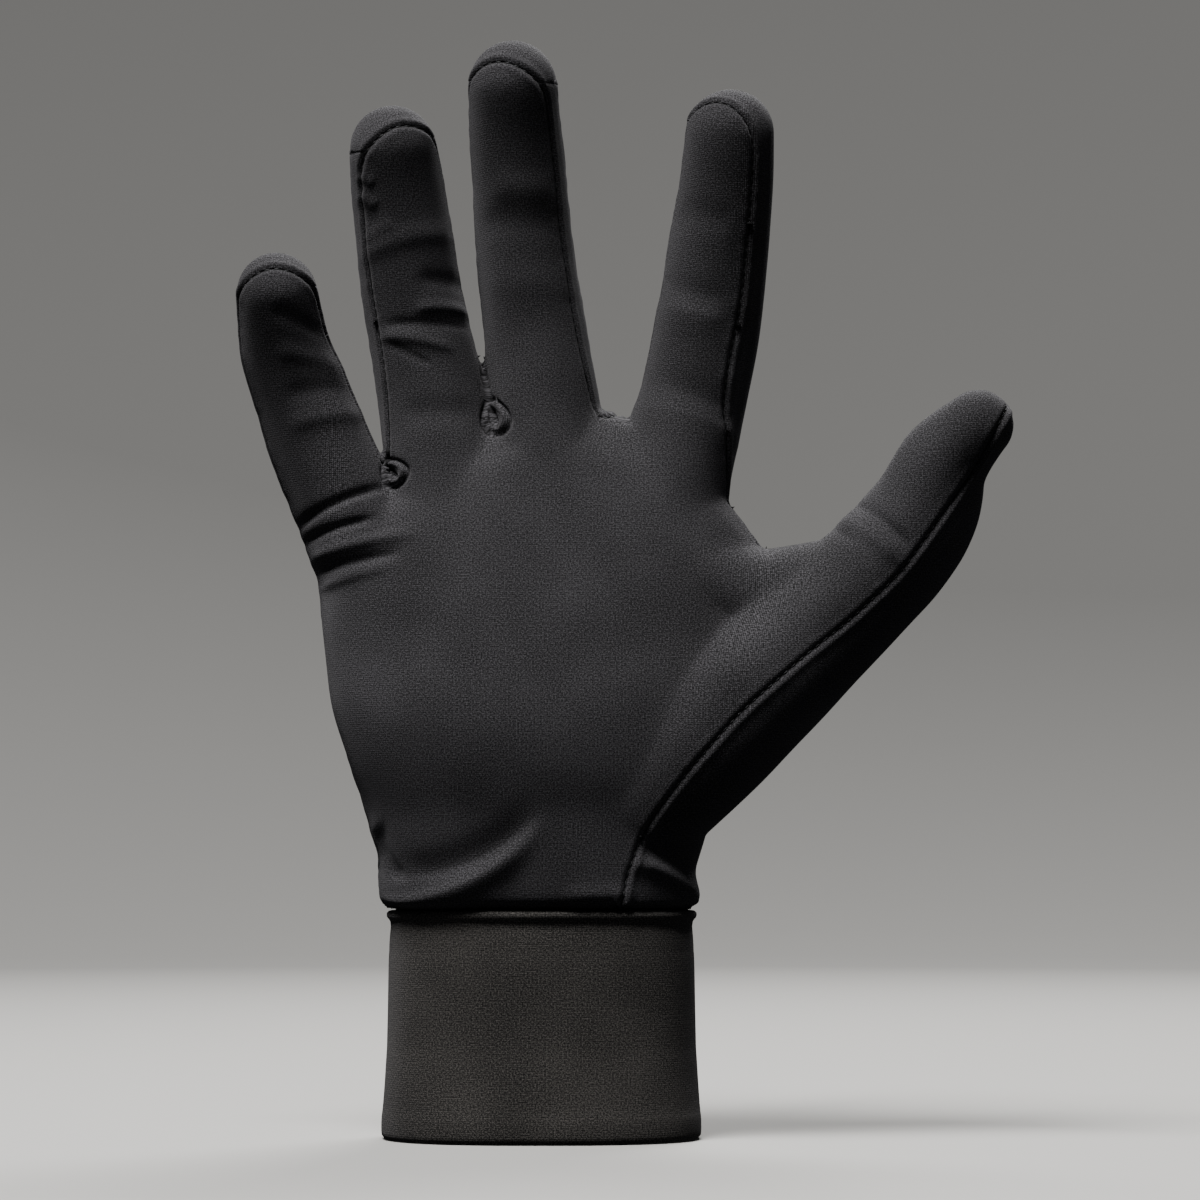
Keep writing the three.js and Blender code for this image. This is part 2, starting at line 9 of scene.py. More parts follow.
import bmesh
import bpy
import numpy as np
from bpy.props import FloatProperty, PointerProperty, StringProperty
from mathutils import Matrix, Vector, noise
from mathutils.kdtree import KDTree

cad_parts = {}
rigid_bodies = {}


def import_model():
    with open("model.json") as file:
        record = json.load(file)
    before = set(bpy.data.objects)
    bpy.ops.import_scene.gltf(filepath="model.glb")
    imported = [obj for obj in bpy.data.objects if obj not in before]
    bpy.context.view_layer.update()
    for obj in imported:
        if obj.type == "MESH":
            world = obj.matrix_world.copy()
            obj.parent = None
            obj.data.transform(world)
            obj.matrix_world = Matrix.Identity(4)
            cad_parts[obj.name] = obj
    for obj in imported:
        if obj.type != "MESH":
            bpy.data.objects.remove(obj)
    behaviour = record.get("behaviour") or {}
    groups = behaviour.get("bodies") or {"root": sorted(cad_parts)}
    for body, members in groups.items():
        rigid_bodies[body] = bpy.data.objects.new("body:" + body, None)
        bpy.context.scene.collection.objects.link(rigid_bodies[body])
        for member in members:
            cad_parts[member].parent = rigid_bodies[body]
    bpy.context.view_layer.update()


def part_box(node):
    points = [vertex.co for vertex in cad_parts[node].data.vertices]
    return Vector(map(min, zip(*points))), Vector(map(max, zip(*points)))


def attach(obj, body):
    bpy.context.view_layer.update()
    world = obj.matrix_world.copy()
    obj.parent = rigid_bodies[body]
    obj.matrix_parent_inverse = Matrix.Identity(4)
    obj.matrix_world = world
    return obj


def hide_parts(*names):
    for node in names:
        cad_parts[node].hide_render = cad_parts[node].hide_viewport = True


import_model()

bl_info = {
    "name": "Knit glove liner",
    "version": (1, 0, 0),
    "blender": (4, 5, 0),
    "location": "3D View > Sidebar > Liner",
    "description": "Builds a knit glove liner around its packed frame",
    "category": "Object",
}

MM = 0.001

# Sizes of the glove, the same as its solids have
CUFF_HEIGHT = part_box("cuff")[1].z
CUFF_WIDTH = 67 * MM
CUFF_DEPTH = 40 * MM
HEM_FLARE = 1 * MM
PALM_LENGTH = 95 * MM
PALM_BREADTH = 92 * MM
PALM_DEPTH = 37 * MM
LITTLE_LENGTH = 65 * MM
RING_LENGTH = 83 * MM
MIDDLE_LENGTH = 93 * MM
INDEX_LENGTH = 85 * MM
THUMB_LENGTH = 118 * MM
FINGER_GIRTH = 22 * MM
THUMB_GIRTH = 26 * MM

# Shapes that the solids share: how square a section of palm or cuff is (2 is an ellipse), how far the palm's
# top leans to the thumb, and how far behind a digit's middle its back seam lies, as a share of its radius.
SECTION_POWER = 2.5
DOME_SKEW = 0.2
BACK_SEAM = 0.5

# How finely the lofts are made.
JOINT_STEP = 6.5 * MM
RING_STEP = 2 * MM
PALM_STEP = 2.5 * MM
LIMB_SIDES = 40
PALM_SIDES = 120
TIP_RINGS = 8

# The lofts become one skin of small triangles: remeshed, smoothed, thinned to a share of its faces and evened
# out. Where it faces further to the front or back than a share of the way, evening out smooths it as well.
VOXEL = 0.6 * MM
SKIN_PASSES = 8
SKIN_SMOOTHING = 0.5
KEPT_SHARE = 0.32
EVEN_PASSES = 12
SIDE_FACING = 0.35

# Where the seams run: over what distance one limb's seams turn into the next one's, how far a cut runs on
# past its end, how near the finger strips their middle lines are cut, and how far off its limb a cap or the
# wrap counts. A cap starts a share of the tip's radius before the spine's end, and the back seam goes round
# it this many times sooner than the palm seam.
LIMB_BLEND = 1.2 * MM
SEAM_MARGIN = 1.2 * MM
FINGER_MARGIN = 6.5 * MM
TIP_REACH = 6 * MM
WRAP_BLEND = 5 * MM
TIP_LEAD = 0.25
CAP_SHARE = 1.8

# Cutting the skin: how near a point is moved onto a seam, the step that measures a field's slope, how steep a
# field is where points may move, and the longest sliver that is merged away. Then the seams are evened out.
SNAP = 0.3 * MM
FIELD_STEP = 0.1 * MM
FIELD_SLOPE = 0.5
SLIVER = 0.22 * MM
SEAM_PASSES = 12
LAST_EVEN_PASSES = 3

# Where the cloth needs finer triangles: edges within a reach of a seam that are longer than a length are
# halved, and so are those on a fold or loop of at least a height.
FINE_EDGES = ((2.2 * MM, 0.9 * MM), (1 * MM, 0.5 * MM))
FINE_PASSES = 3
FOLD_EDGES = (0.8 * MM, 0.5 * MM)
FOLD_LEAST = 0.1 * MM

# A fold fades out round the side. It is gone where the skin faces this share of the way to the other side.
FACING = 0.35

# The inner side of a panel's wall hardly shows. Its points are in this group and are thinned out, which
# leaves this share of the panel's triangles.
INSIDE = "inside"
PANEL_SHARE = 0.56

# Each digit: its length, girth, the place of its root as shares of the palm's breadth and length, how far
# the seams turn about it in degrees, how far before its middle the palm panel ends at its very tip, and its
# spine. A spine row is how far right, up and forward it lies as shares of the digit's length, its girth, and
# how far before its middle the palm panel ends.
DIGITS = {
    "little": (LITTLE_LENGTH, FINGER_GIRTH, -0.418, 0.81, 0, 0.5, (
        (0.085, -0.28, 0.05, 1.1, -0.1),
        (0, 0, 0.03, 1.05, 0),
        (-0.148, 0.354, 0.05, 1, 0.17),
        (-0.205, 0.515, 0.08, 0.95, 0.17),
        (-0.262, 0.677, 0.14, 0.885, 0.17),
        (-0.285, 0.852, 0.235, 0.79, 0.2))),
    "ring": (RING_LENGTH, FINGER_GIRTH, -0.223, 0.96, -19, 0.68, (
        (0.042, -0.265, 0.03, 1.2, 0),
        (0, 0, 0.02, 1.18, 0.1),
        (-0.054, 0.3, 0.03, 1.05, 0.33),
        (-0.094, 0.506, 0.06, 0.99, 0.33),
        (-0.127, 0.759, 0.13, 0.92, 0.33),
        (-0.14, 0.876, 0.185, 0.845, 0.36))),
    "middle": (MIDDLE_LENGTH, FINGER_GIRTH, 0.016, 1, 18, 0.66, (
        (0.015, -0.258, 0.03, 1.22, 0),
        (0, 0, 0.02, 1.2, 0.1),
        (-0.028, 0.29, 0.03, 1.04, 0.33),
        (-0.057, 0.52, 0.06, 0.975, 0.33),
        (-0.075, 0.753, 0.125, 0.91, 0.33),
        (-0.083, 0.884, 0.185, 0.87, 0.36))),
    "index": (INDEX_LENGTH, FINGER_GIRTH, 0.304, 0.97, 28, 0.6, (
        (-0.03, -0.27, 0.03, 1.22, -0.6),
        (0, 0, 0.02, 1.17, -0.2),
        (0.059, 0.224, 0.025, 1.07, 0.47),
        (0.107, 0.476, 0.055, 1.035, 0.47),
        (0.138, 0.729, 0.12, 0.94, 0.47),
        (0.15, 0.884, 0.175, 0.865, 0.47))),
    "thumb": (THUMB_LENGTH, THUMB_GIRTH, 0.24, 0.2, 0, -0.3, (
        (-0.034, 0.017, 0.05, 1.19, -0.38),
        (0.042, 0.097, 0.06, 1.25, -0.38),
        (0.124, 0.174, 0.076, 1.25, -0.38),
        (0.23, 0.271, 0.085, 1.155, -0.38),
        (0.393, 0.423, 0.093, 1.02, -0.38),
        (0.463, 0.496, 0.106, 0.985, -0.38),
        (0.508, 0.562, 0.127, 0.915, -0.38),
        (0.543, 0.647, 0.161, 0.745, -0.38),
        (0.599, 0.708, 0.195, 0.58, -0.38))),
}

# The web of cloth between index and thumb: right, up, fore and girth as shares of the palm.
WEB = (
    (0.36, 0.74, 0.12, 0.66),
    (0.52, 0.7, 0.16, 0.6),
    (0.67, 0.716, 0.24, 0.62),
)

# Sections across the palm, from below the cuff seam up: up, how far the row follows the cuff's sizes,
# left, right, fore and depth as shares of those, and how far its middle is domed up.
PALM = (
    (-0.08, 1, 0.5, 0.5, 0, 1, 0),
    (0.003, 1, 0.507, 0.505, 0, 1.02, 0),
    (0.03, 1, 0.522, 0.508, 0.01, 1.05, 0),
    (0.075, 1, 0.525, 0.5, 0.02, 1.04, 0),
    (0.126, 1, 0.524, 0.513, 0.03, 1.03, 0),
    (0.22, 0.5, 0.475, 0.465, 0.065, 1.03, 0),
    (0.325, 0.2, 0.474, 0.483, 0.13, 1.03, 0),
    (0.45, 0, 0.489, 0.5, 0.16, 1, 0),
    (0.6, 0, 0.511, 0.533, 0.12, 0.9, 0.03),
    (0.705, 0, 0.524, 0.549, 0.08, 0.8, 0.15),
    (0.757, 0, 0.528, 0.549, 0.06, 0.66, 0.27),
    (0.78, 0, 0.526, 0.545, 0.055, 0.42, 0.33),
    (0.79, 0, 0.52, 0.535, 0.05, 0.2, 0.352),
    (0.793, 0, 0.51, 0.525, 0.05, 0, 0.36),
)

# The seam down the thumb's front to the cuff: right and up as shares of the thumb's length from its root.
THUMB_SEAM = (
    (-0.05, -0.2), (-0.03, -0.085), (0.01, 0.0), (0.08, 0.09), (0.169, 0.19), (0.275, 0.283),
    (0.364, 0.354), (0.453, 0.435), (0.523, 0.53), (0.586, 0.62), (0.646, 0.73),
)

# Folds on the palm side, in mm: a line from x, z to x, z as seen from the front, how far it bows up, the
# fold's height, negative for a crease, and how far it spreads below and above the line.
FRONT_FOLDS = (
    (-32, 50.6, -3, 63.5, -3, 1.6, 3, 1.7),
    (-29, 56.5, -3, 67, -2.4, -1.3, 2, 4),
    (-34.5, 66, -30, 55.5, -1, -1.1, 1.5, 1.5),
    (-36, 68, -33, 58, 0, 0.6, 1.4, 1.4),
    (21, 59, 34, 51.5, 1, 1.3, 2, 2),
    (22, 63.5, 33, 57, 0, -1.1, 2, 2.4),
    (6, 52, 18, 52.5, 0, 0.5, 1.5, 2),
    (-53, 131.5, -35, 139.5, 0.5, -1.0, 0.9, 1.3),
    (-52, 128, -37, 132.5, 0.3, -0.9, 0.9, 1.1),
    (-50, 124.5, -29, 129, 0.5, 0.8, 1.4, 1.7),
    (-49, 121.3, -31, 125, 0.3, -0.8, 0.9, 1.2),
    (-48, 118, -33, 122, 0.3, 0.5, 1.3, 1.5),
    (-38, 190, -21, 194.5, 0.4, 0.5, 2.2, 2.5),
    (-26, 184, -16, 184.5, 0, -0.5, 2, 2),
    (-26.5, 178, -16, 178.4, 0.3, 0.6, 1.2, 1.6),
    (-33, 174.8, -17, 175, 0, -0.45, 1.2, 1.2),
    (-34, 172.4, -20, 169.8, 0.3, 0.55, 1.3, 1.5),
    (-33, 170.8, -24, 166, 0, -0.35, 0.9, 0.9),
    (-29, 155.6, -15, 156, 0, -0.5, 3, 3),
    (-39, 206.2, -36, 204, 0, 0.4, 1.3, 1.3),
    (-39, 202.4, -35.6, 199.4, 0, 0.45, 1.3, 1.5),
    (-38, 193, -32, 195.5, 0.3, 0.3, 1.6, 1.6),
    (-57, 176, -47, 172, 0.3, -0.4, 1.6, 2),
    (-56, 168, -44, 166, 0.3, 0.4, 2, 2),
    (-54, 159, -42, 161, 0.3, -0.5, 2, 2.4),
    (-53, 153, -39, 156, 0.3, 0.5, 2, 2),
    (-10, 203.7, 2, 203.7, 0, 0.4, 3, 3),
    (-13, 196.5, 4, 196.5, 0, -0.45, 3.5, 3.5),
    (-12, 184, 6, 184, 0, 0.3, 4, 4),
    (25, 179.5, 38, 175.5, -0.3, 0.45, 4, 1.6),
    (25, 184, 39, 180, -0.3, -0.35, 1.8, 3),
    (20, 158, 42, 151, 0.5, 0.35, 5, 1.8),
    (22, 163.5, 42, 155.5, 0.5, -0.3, 1.8, 3),
    (30, 199, 40, 196, 0, -0.35, 3, 3),
    (66, 136.5, 77, 126, 0.4, -0.6, 1.1, 1.3),
    (63, 133.5, 75, 123, 0.4, 0.45, 1.8, 1.6),
    (58, 135, 66, 127, 0.2, -0.5, 1, 1),
    (-13, 166.5, -11.4, 159, 0, -1.1, 0.7, 0.7),
)
# Plain soft folds on the hidden back, in the same columns.
BACK_FOLDS = (
    (-30, 53, -6, 57, 1, 1.1, 2, 3),
    (4, 58, 32, 53, 1, 1.0, 2, 3),
    (-24, 65, 22, 66, -1, -0.7, 3, 3.5),
    (-8, 157, 6, 157, 0.5, 0.5, 1.5, 2),
    (-30, 152, -17, 154, 0.5, 0.5, 1.5, 2),
    (24, 154, 42, 150, 0.5, 0.5, 1.5, 2),
    (-12, 196, 4, 196, 0.4, 0.4, 1.2, 1.5),
    (-37, 184, -24, 183, 0.4, 0.4, 1.2, 1.5),
    (30, 182, 44, 180, 0.4, 0.4, 1.2, 1.5),
    (-13, 166.5, -12, 160, 0, -1.1, 0.7, 0.7),
)
# The share of a fold's length over which it fades at its ends.
FOLD_TAPER = 0.4

# The turned ends of the finger strips, drop-shaped loops on the palm side: x, z, lean to the left in degrees,
# half width and half height, in mm. Each is narrower at its top by a share.
LOOPS = (
    (-10.2, 155.4, 18, 2.7, 4.2),
    (-32.2, 143.4, 36, 2.6, 3.3),
)
LOOP_NARROWING = 0.35
# How far a loop's edge goes in, its roll comes out and its slit goes in, in mm; where each lies or ends, as a
# share of the loop; and how wide it is, a share of the loop for the edge and roll, mm for the slit.
LOOP_EDGE = (0.75, 1.0, 0.17)
LOOP_ROLL = (0.5, 0.66, 0.22)
LOOP_SLIT = (0.8, 0.75, 0.4)
LOOP_FINENESS = 0.3 * MM

# The cloth's slack between its folds.
SLACK = 0.25 * MM
SLACK_PITCH = 14 * MM

# The turned seams: how far they are felt, how many places on each edge of one are measured from, and the
# least cap in which strip and back are one. Then the cuff's groove, and the roll and puckers beside a seam.
SEAM_REACH = 7 * MM
SEAM_SHARES = 4
CAP_LEAST = 0.02
CUFF_GROOVE = 1.5 * MM
CUFF_GROOVE_WIDTH = 1.4 * MM
ROLL_PLACE = 1.3 * MM
ROLL_WIDTH = 0.7 * MM
PUCKER_PITCH = 2.6 * MM
PUCKER_PLACE = 1.3 * MM
PUCKER_WIDTH = 1.1 * MM

# Each knit piece has a map of where it lies on the cloth, evened out in passes, and one of how far it is from
# its seam. The palm's edge counts as round over at least a share of its depth.
KNIT_MAP = "knit"
SEAM_MAP = "seam"
KNIT_PASSES = 80
PALM_EDGE = 0.3

# Sizes in the knit: specks of lint and painted glints, clouds in the dye, how deep its stitches are, how far
# a stitch's legs slant in courses, and how much higher they are at its middle. The line between two panels,
# as wide as the sewing thread, is painted shade in the seam's groove, dark up to the first distance and gone
# at the second, and this many stitches deep.
LINT_AND_GLINT_SIZE = 0.34 * MM
CLOUD_SIZE = 24 * MM
STITCH_DEPTH = 0.12 * MM
STITCH_SLANT = 1.2
LEG_SWELL = 0.25
SEAM_SHADE_LINE = (0.12 * MM, 0.34 * MM)
SEAM_DROP = 1.5

# How much clouds, specks of lint and painted glints, and stitches each add to the knit's tone (the stitches'
# share is painted light on their tops and painted shade between them), the sums that are darkest and
# lightest, and how high lint stands beside a stitch.
CLOUD_TONE = 0.3
LINT_AND_GLINT_TONE = 1.6
STITCH_SHADE_TONE = 0.3
TONE_RANGE = (0.88, 1.5)
LINT_HEIGHT = 1.2

# A stitch: how much of its pitch the thread shows for, the sides of its thread, and how high it lies above
# the seam at steps along it, in shares of its thickness. Then the pitch and depth of the thread's plies.
STITCH_SHARE = 0.68
THREAD_SIDES = 6
STITCH_RISE = (-0.5, 0.1, 0.3, 0.3, 0.1, -0.5)
PLY_PITCH = 0.5 * MM
PLY_DEPTH = 0.05 * MM

# The cuff's outline from the top of its inner layer down, round the hem and up the outside: z and how far
# out of its plain outer face, in mm.
CUFF_PROFILE = (
    (50.6, -3.1), (49, -2.8), (46, -2.5), (30, -2.4), (8, -2.4), (2.5, -2.4), (1.0, -2.25), (0.25, -1.75),
    (0, -1.2), (0.25, -0.65), (1.0, -0.15), (2.5, 0), (5, 0.05), (7.5, -0.05), (20, 0), (36, 0),
    (40.5, -0.15), (43.5, -0.5), (45.4, -0.8), (46.4, -0.75), (46.9, -0.5), (47.3, -0.15), (47.8, 0),
    (48.3, -0.05), (48.7, -0.4), (48.85, -1.0), (48.9, -1.8), (49.4, -2.3), (50.6, -2.6),
)
# How much of the hem's flare there is at a share of the cuff's height.
CUFF_FLARE = ((0, 1), (0.09, 0.8), (0.4, -0.2), (0.82, -0.5), (0.97, 0), (1, 0))
CUFF_SIDES = 260
CUFF_STEP = 0.8 * MM
# The cuff is gathered below its seam, in puckers drawn out up the cuff, and has a little slack.
CUFF_GATHER = 0.25 * MM
CUFF_GATHER_REACH = 4 * MM
CUFF_GATHER_SHARES = (1, 1, 0.2)
CUFF_SLACK = 0.2 * MM
MERGE = 0.001 * MM

# Stage, in metres: a round floor that runs up into a curved wall; each light's place, size and watts.
FLOOR_RADIUS = 1.25
BACKDROP_CURVE = 0.8
BACKDROP_HEIGHT = 3.5
BACKDROP_STEPS = 16
BACKDROP_SIDES = 96
LIGHTS = (
    ("key_light", (-0.3, -0.53, 1.3), 0.5, 30.0),
    ("back_light", (0.25, 0.7, 1.1), 0.6, 14.0),
)
LIGHT_AIM = Vector((0.01, 0, 0.12))
AIR_STRENGTH = 0.06
# The camera's place and lens. In pixels of the 1200 x 1200 picture: its focal length, and how far the horizon
# is below the picture's middle.
PICTURE = 1200
FOCAL_PIXELS = 3217
HORIZON_PIXELS = 270
SENSOR = 36.0
CAMERA_PLACE = (12.6 * MM, -700 * MM, 57.5 * MM)

# The panels, each numbered by its place here, and how far its edge rolls up beside a seam. What lies below
# the cuff's seam is waste.
PALM_PANEL = "palm_panel"
BACK_PANEL = "back_panel"
FOURCHETTES = ("fourchette_little_ring", "fourchette_ring_middle", "fourchette_middle_index")
PANELS = (PALM_PANEL, BACK_PANEL, *FOURCHETTES)
WASTE = len(PANELS)
ROLLS = {
    PALM_PANEL: 0.12 * MM, BACK_PANEL: 0.32 * MM,
    **dict.fromkeys(FOURCHETTES, 0.2 * MM),
}


def soft_step(values):
    """A smooth rise from nought to one."""
    values = np.clip(values, 0, 1)
    return values * values * (3 - 2 * values)


def bell(values):
    """One at nought, falling away smoothly on both sides."""
    return np.exp(-values ** 2)


def mix(first, second, share):
    """What lies at a share of the way from the first to the second."""
    return first * (1 - share) + second * share


def unit(vectors):
    """Rows of vectors, each scaled to a length of one."""
    return vectors / np.linalg.norm(vectors, axis=1, keepdims=True)


def turns(sides, start=0.5):
    """Even turns once round, in radians, the first a share of a step on."""
    return (np.arange(sides) + start) / sides * math.tau


# Fine copies of the solids' lofts

def palm_point(right, up, fore=0.0):
    """A place given in shares of the palm."""
    return np.array([right * PALM_BREADTH, -fore * PALM_DEPTH, CUFF_HEIGHT + up * PALM_LENGTH])


def lengths_along(points):
    """How far each point lies along the line through them."""
    return np.concatenate([[0], np.cumsum(np.linalg.norm(np.diff(points, axis=0), axis=1))])


def smooth_rows(rows, step, places):
    """A smooth run of rows through the given ones, about one step apart; places are where they lie."""
    rows = np.asarray(rows, float)
    last = len(rows) - 1
    out = []
    for i in range(last):
        a, b, c, d = (rows[min(max(i + k, 0), last)] for k in (-1, 0, 1, 2))
        count = max(1, round(np.linalg.norm(places[i + 1] - places[i]) / step))
        for t in np.arange(count) / count:
            cubic = -a + 3 * b - 3 * c + d
            out.append(b + 0.5 * t * (c - a + t * (2 * a - 5 * b + 4 * c - d + t * cubic)))
    return np.array(out + [rows[last]])


def limb_joints(name, step):
    """Stations along a digit: x, y, z, radius and the palm panel's edge."""
    length, girth, right, up, _roll, _tip, spine = DIGITS[name]
    root = palm_point(right, up)
    rows = np.asarray(spine, float)
    radius = rows[:, 3] * girth / 2
    stations = np.column_stack([root + rows[:, [0, 2, 1]] * [length, -length, length], radius,
                                rows[:, 4] * radius])
    return smooth_rows(stations, step, stations[:, :3])


def loft(rings, start=None, end=None):
    """Points and faces of a skin through rings of points, with its ends closed to a point."""
    count, sides = rings.shape[:2]
    j = np.arange(sides)
    k = (j + 1) % sides
    faces = []
    for low in np.arange(count - 1) * sides:
        high = low + sides
        faces += np.column_stack([low + j, low + k, high + k, high + j]).tolist()
    points = rings.reshape(-1, 3)
    if start is not None:
        points = np.vstack([points, start])
        faces += [[len(points) - 1, int(b), int(a)] for a, b in zip(j, k)]
    if end is not None:
        points = np.vstack([points, end])
        first = (count - 1) * sides
        faces += [[len(points) - 1, first + int(a), first + int(b)] for a, b in zip(j, k)]
    return points, faces


def joined(lofts):
    """The points and faces of several lofts as those of one mesh."""
    points, faces = [], []
    for loft_points, loft_faces in lofts:
        faces += [[corner + len(points) for corner in face] for face in loft_faces]
        points += list(loft_points)
    return points, faces


def limb_skin(joints):
    """A limb's skin: round sections square to its spine, and a round tip."""
    centres = joints[:, :3]
    along = unit(np.gradient(centres, axis=0))
    across = unit(np.cross([0.0, 1.0, 0.0], along))
    deep = np.cross(along, across)
    turn = turns(LIMB_SIDES)

    def ring(i, lift, radius):
        spokes = np.cos(turn)[:, None] * across[i] + np.sin(turn)[:, None] * deep[i]
        return centres[i] + lift * along[i] + radius * spokes

    rings = [ring(i, 0, joints[i, 3]) for i in range(len(joints))]
    radius = joints[-1, 3]
    for k in range(1, TIP_RINGS + 1):
        rise = k / (TIP_RINGS + 1) * math.pi / 2
        rings.append(ring(-1, radius * math.sin(rise), radius * math.cos(rise)))
    return loft(np.array(rings), centres[0], centres[-1] + radius * along[-1])


def section(turn):
    """A rounded section's x and y at a turn, for half sizes of one."""
    return tuple(np.sign(v) * np.abs(v) ** (2 / SECTION_POWER) for v in (np.cos(turn), np.sin(turn)))


def palm_rows():
    """The palm's sections close together, one column for each value of a row, then their full sizes."""
    table = np.asarray(PALM, float)
    rows = smooth_rows(table, PALM_STEP, table[:, :1] * PALM_LENGTH)
    cuff = rows[:, 1]
    breadth = PALM_BREADTH + (CUFF_WIDTH - PALM_BREADTH) * cuff
    deep = PALM_DEPTH + (CUFF_DEPTH - PALM_DEPTH) * cuff
    return np.column_stack([rows, breadth, deep])


def palm_skin():
    """The palm's skin, lofted through its sections."""
    x, y = section(turns(PALM_SIDES))
    rings = []
    for up, _cuff, left, right, fore, depth, dome, breadth, deep in palm_rows():
        rise = (1 - x * x) * (1 + DOME_SKEW * x) * dome
        rings.append(np.column_stack([
            (right - left) / 2 * breadth + x * (left + right) / 2 * breadth,
            -fore * deep + y * depth * deep / 2,
            CUFF_HEIGHT + (up + rise) * PALM_LENGTH]))
    return loft(np.array(rings), [0, 0, rings[0][0][2]])


def web_skin():
    """The web's skin, a limb of three stations."""
    return limb_skin(np.array([
        [*palm_point(right, up, fore), girth * PALM_DEPTH / 2] for right, up, fore, girth in WEB]))


# Where a place lies on the hand, and the seams that follow from it

def beside(name, places):
    """How far places lie off a limb's skin, past its palm and back seams, and to its thumb side.

    wrap is how much longer the way round the limb is than the straight way across.
    """
    joints = LIMBS[name]
    roll, tip = math.radians(DIGITS[name][4]), DIGITS[name][5]
    off = np.full(len(places), np.inf)
    found = np.zeros((5, len(places)))
    for a, b in zip(joints[:-1], joints[1:]):
        along = b[:3] - a[:3]
        share = np.clip((places - a[:3]) @ along / (along @ along), 0, 1)
        out = places - a[:3] - share[:, None] * along
        radius = a[3] + (b[3] - a[3]) * share
        near = np.linalg.norm(out, axis=1) - radius
        along = along / np.linalg.norm(along)
        face = np.array([-math.sin(roll), -math.cos(roll), 0])
        face -= along * (face @ along)
        face /= np.linalg.norm(face)
        side = np.cross(along, face)
        wrap = np.hypot(*out[:, :2].T) * np.arctan2(out[:, 0], np.abs(out[:, 1])) - out[:, 0]
        values = np.array([out @ face, out @ side, radius, a[4] + (b[4] - a[4]) * share, wrap])
        nearer = near < off
        off = np.where(nearer, near, off)
        found = np.where(nearer, values, found)
    front, side, radius, seam, wrap = found
    end = joints[-1]
    past = (places - end[:3]) @ (end[:3] - joints[-2][:3]) / np.linalg.norm(end[:3] - joints[-2][:3])
    cap = soft_step(past / end[3] + TIP_LEAD) * (off < TIP_REACH)
    seam = seam + (tip * end[3] - end[4]) * cap
    back = (BACK_SEAM + tip) * radius * soft_step(cap * CAP_SHARE) - BACK_SEAM * radius
    return {"off": off, "palm": front - seam, "back": front - back, "side": side, "wrap": wrap, "cap": cap}


def on_hand(places):
    """Seam fields of the whole hand, each limb counting more the nearer it is."""
    found = [beside(name, places) for name in LIMBS]
    nearest = np.min([item["off"] for item in found], axis=0)
    weights = [np.exp((nearest - item["off"]) / LIMB_BLEND) for item in found]
    total = sum(weights)

    def mean(values):
        return sum(weight * value for weight, value in zip(weights, values)) / total

    fields = {key: mean([item[key] for item in found]) for key in ("palm", "back", "cap", "wrap")}
    fields["wrap"] = fields["wrap"] * np.clip(1 - nearest / WRAP_BLEND, 0, 1)
    fields["between"] = [
        np.minimum(found[i]["side"], -found[i + 1]["side"]) for i in range(len(FOURCHETTES))]
    return fields


def thumb_side(places):
    """Signed distance from the thumb seam seen from the front, positive on the palm's side."""
    length, _girth, right, up, *_ = DIGITS["thumb"]
    line = palm_point(right, up)[[0, 2]] + np.asarray(THUMB_SEAM) * length
    points = places[:, [0, 2]]
    best = np.full(len(points), np.inf)
    sign = np.ones(len(points))
    for i in range(len(line) - 1):
        along = line[i + 1] - line[i]
        start = points - line[i]
        low = -np.inf if i == 0 else 0
        high = np.inf if i == len(line) - 2 else 1
        share = np.clip(start @ along / (along @ along), low, high)
        gap = np.linalg.norm(start - share[:, None] * along, axis=1)
        cross = along[0] * start[:, 1] - along[1] * start[:, 0]
        sign = np.where(gap < best, np.sign(cross), sign)
        best = np.minimum(gap, best)
    return sign * best


def above_cuff(places):
    """How far places lie above the cuff's seam."""
    return places[:, 2] - CUFF_HEIGHT


def among_fingers(places):
    """Whether places are in the upper half of the palm or beyond it."""
    return above_cuff(places) > PALM_LENGTH / 2


def between_applies(places):
    """Whether the middle line between two fingers is cut at places."""
    hand = on_hand(places)
    return (hand["palm"] < FINGER_MARGIN) & (hand["back"] > -FINGER_MARGIN) & among_fingers(places)


# Each seam line is where a field is nought, and is cut only where it applies.
SEAMS = (
    (above_cuff, lambda places: np.ones(len(places), bool)),
    (thumb_side, lambda places: on_hand(places)["palm"] > -SEAM_MARGIN),
    (lambda places: on_hand(places)["palm"], lambda places: thumb_side(places) > -SEAM_MARGIN),
    (lambda places: on_hand(places)["back"],
     lambda places: np.max(on_hand(places)["between"], axis=0) > -SEAM_MARGIN),
    *((lambda places, i=i: on_hand(places)["between"][i], between_applies) for i in range(len(FOURCHETTES))),
)


def panel_at(places):
    """The number of the panel that each place belongs to."""
    hand = on_hand(places)
    between = np.array(hand["between"])
    panel = np.full(len(places), PANELS.index(BACK_PANEL))
    strip = (hand["palm"] < 0) & (hand["back"] > 0) & (between.max(axis=0) > 0) & among_fingers(places)
    panel[strip] = PANELS.index(FOURCHETTES[0]) + np.argmax(between > 0, axis=0)[strip]
    panel[(hand["palm"] > 0) & (thumb_side(places) > 0)] = PANELS.index(PALM_PANEL)
    panel[above_cuff(places) < 0] = WASTE
    return panel


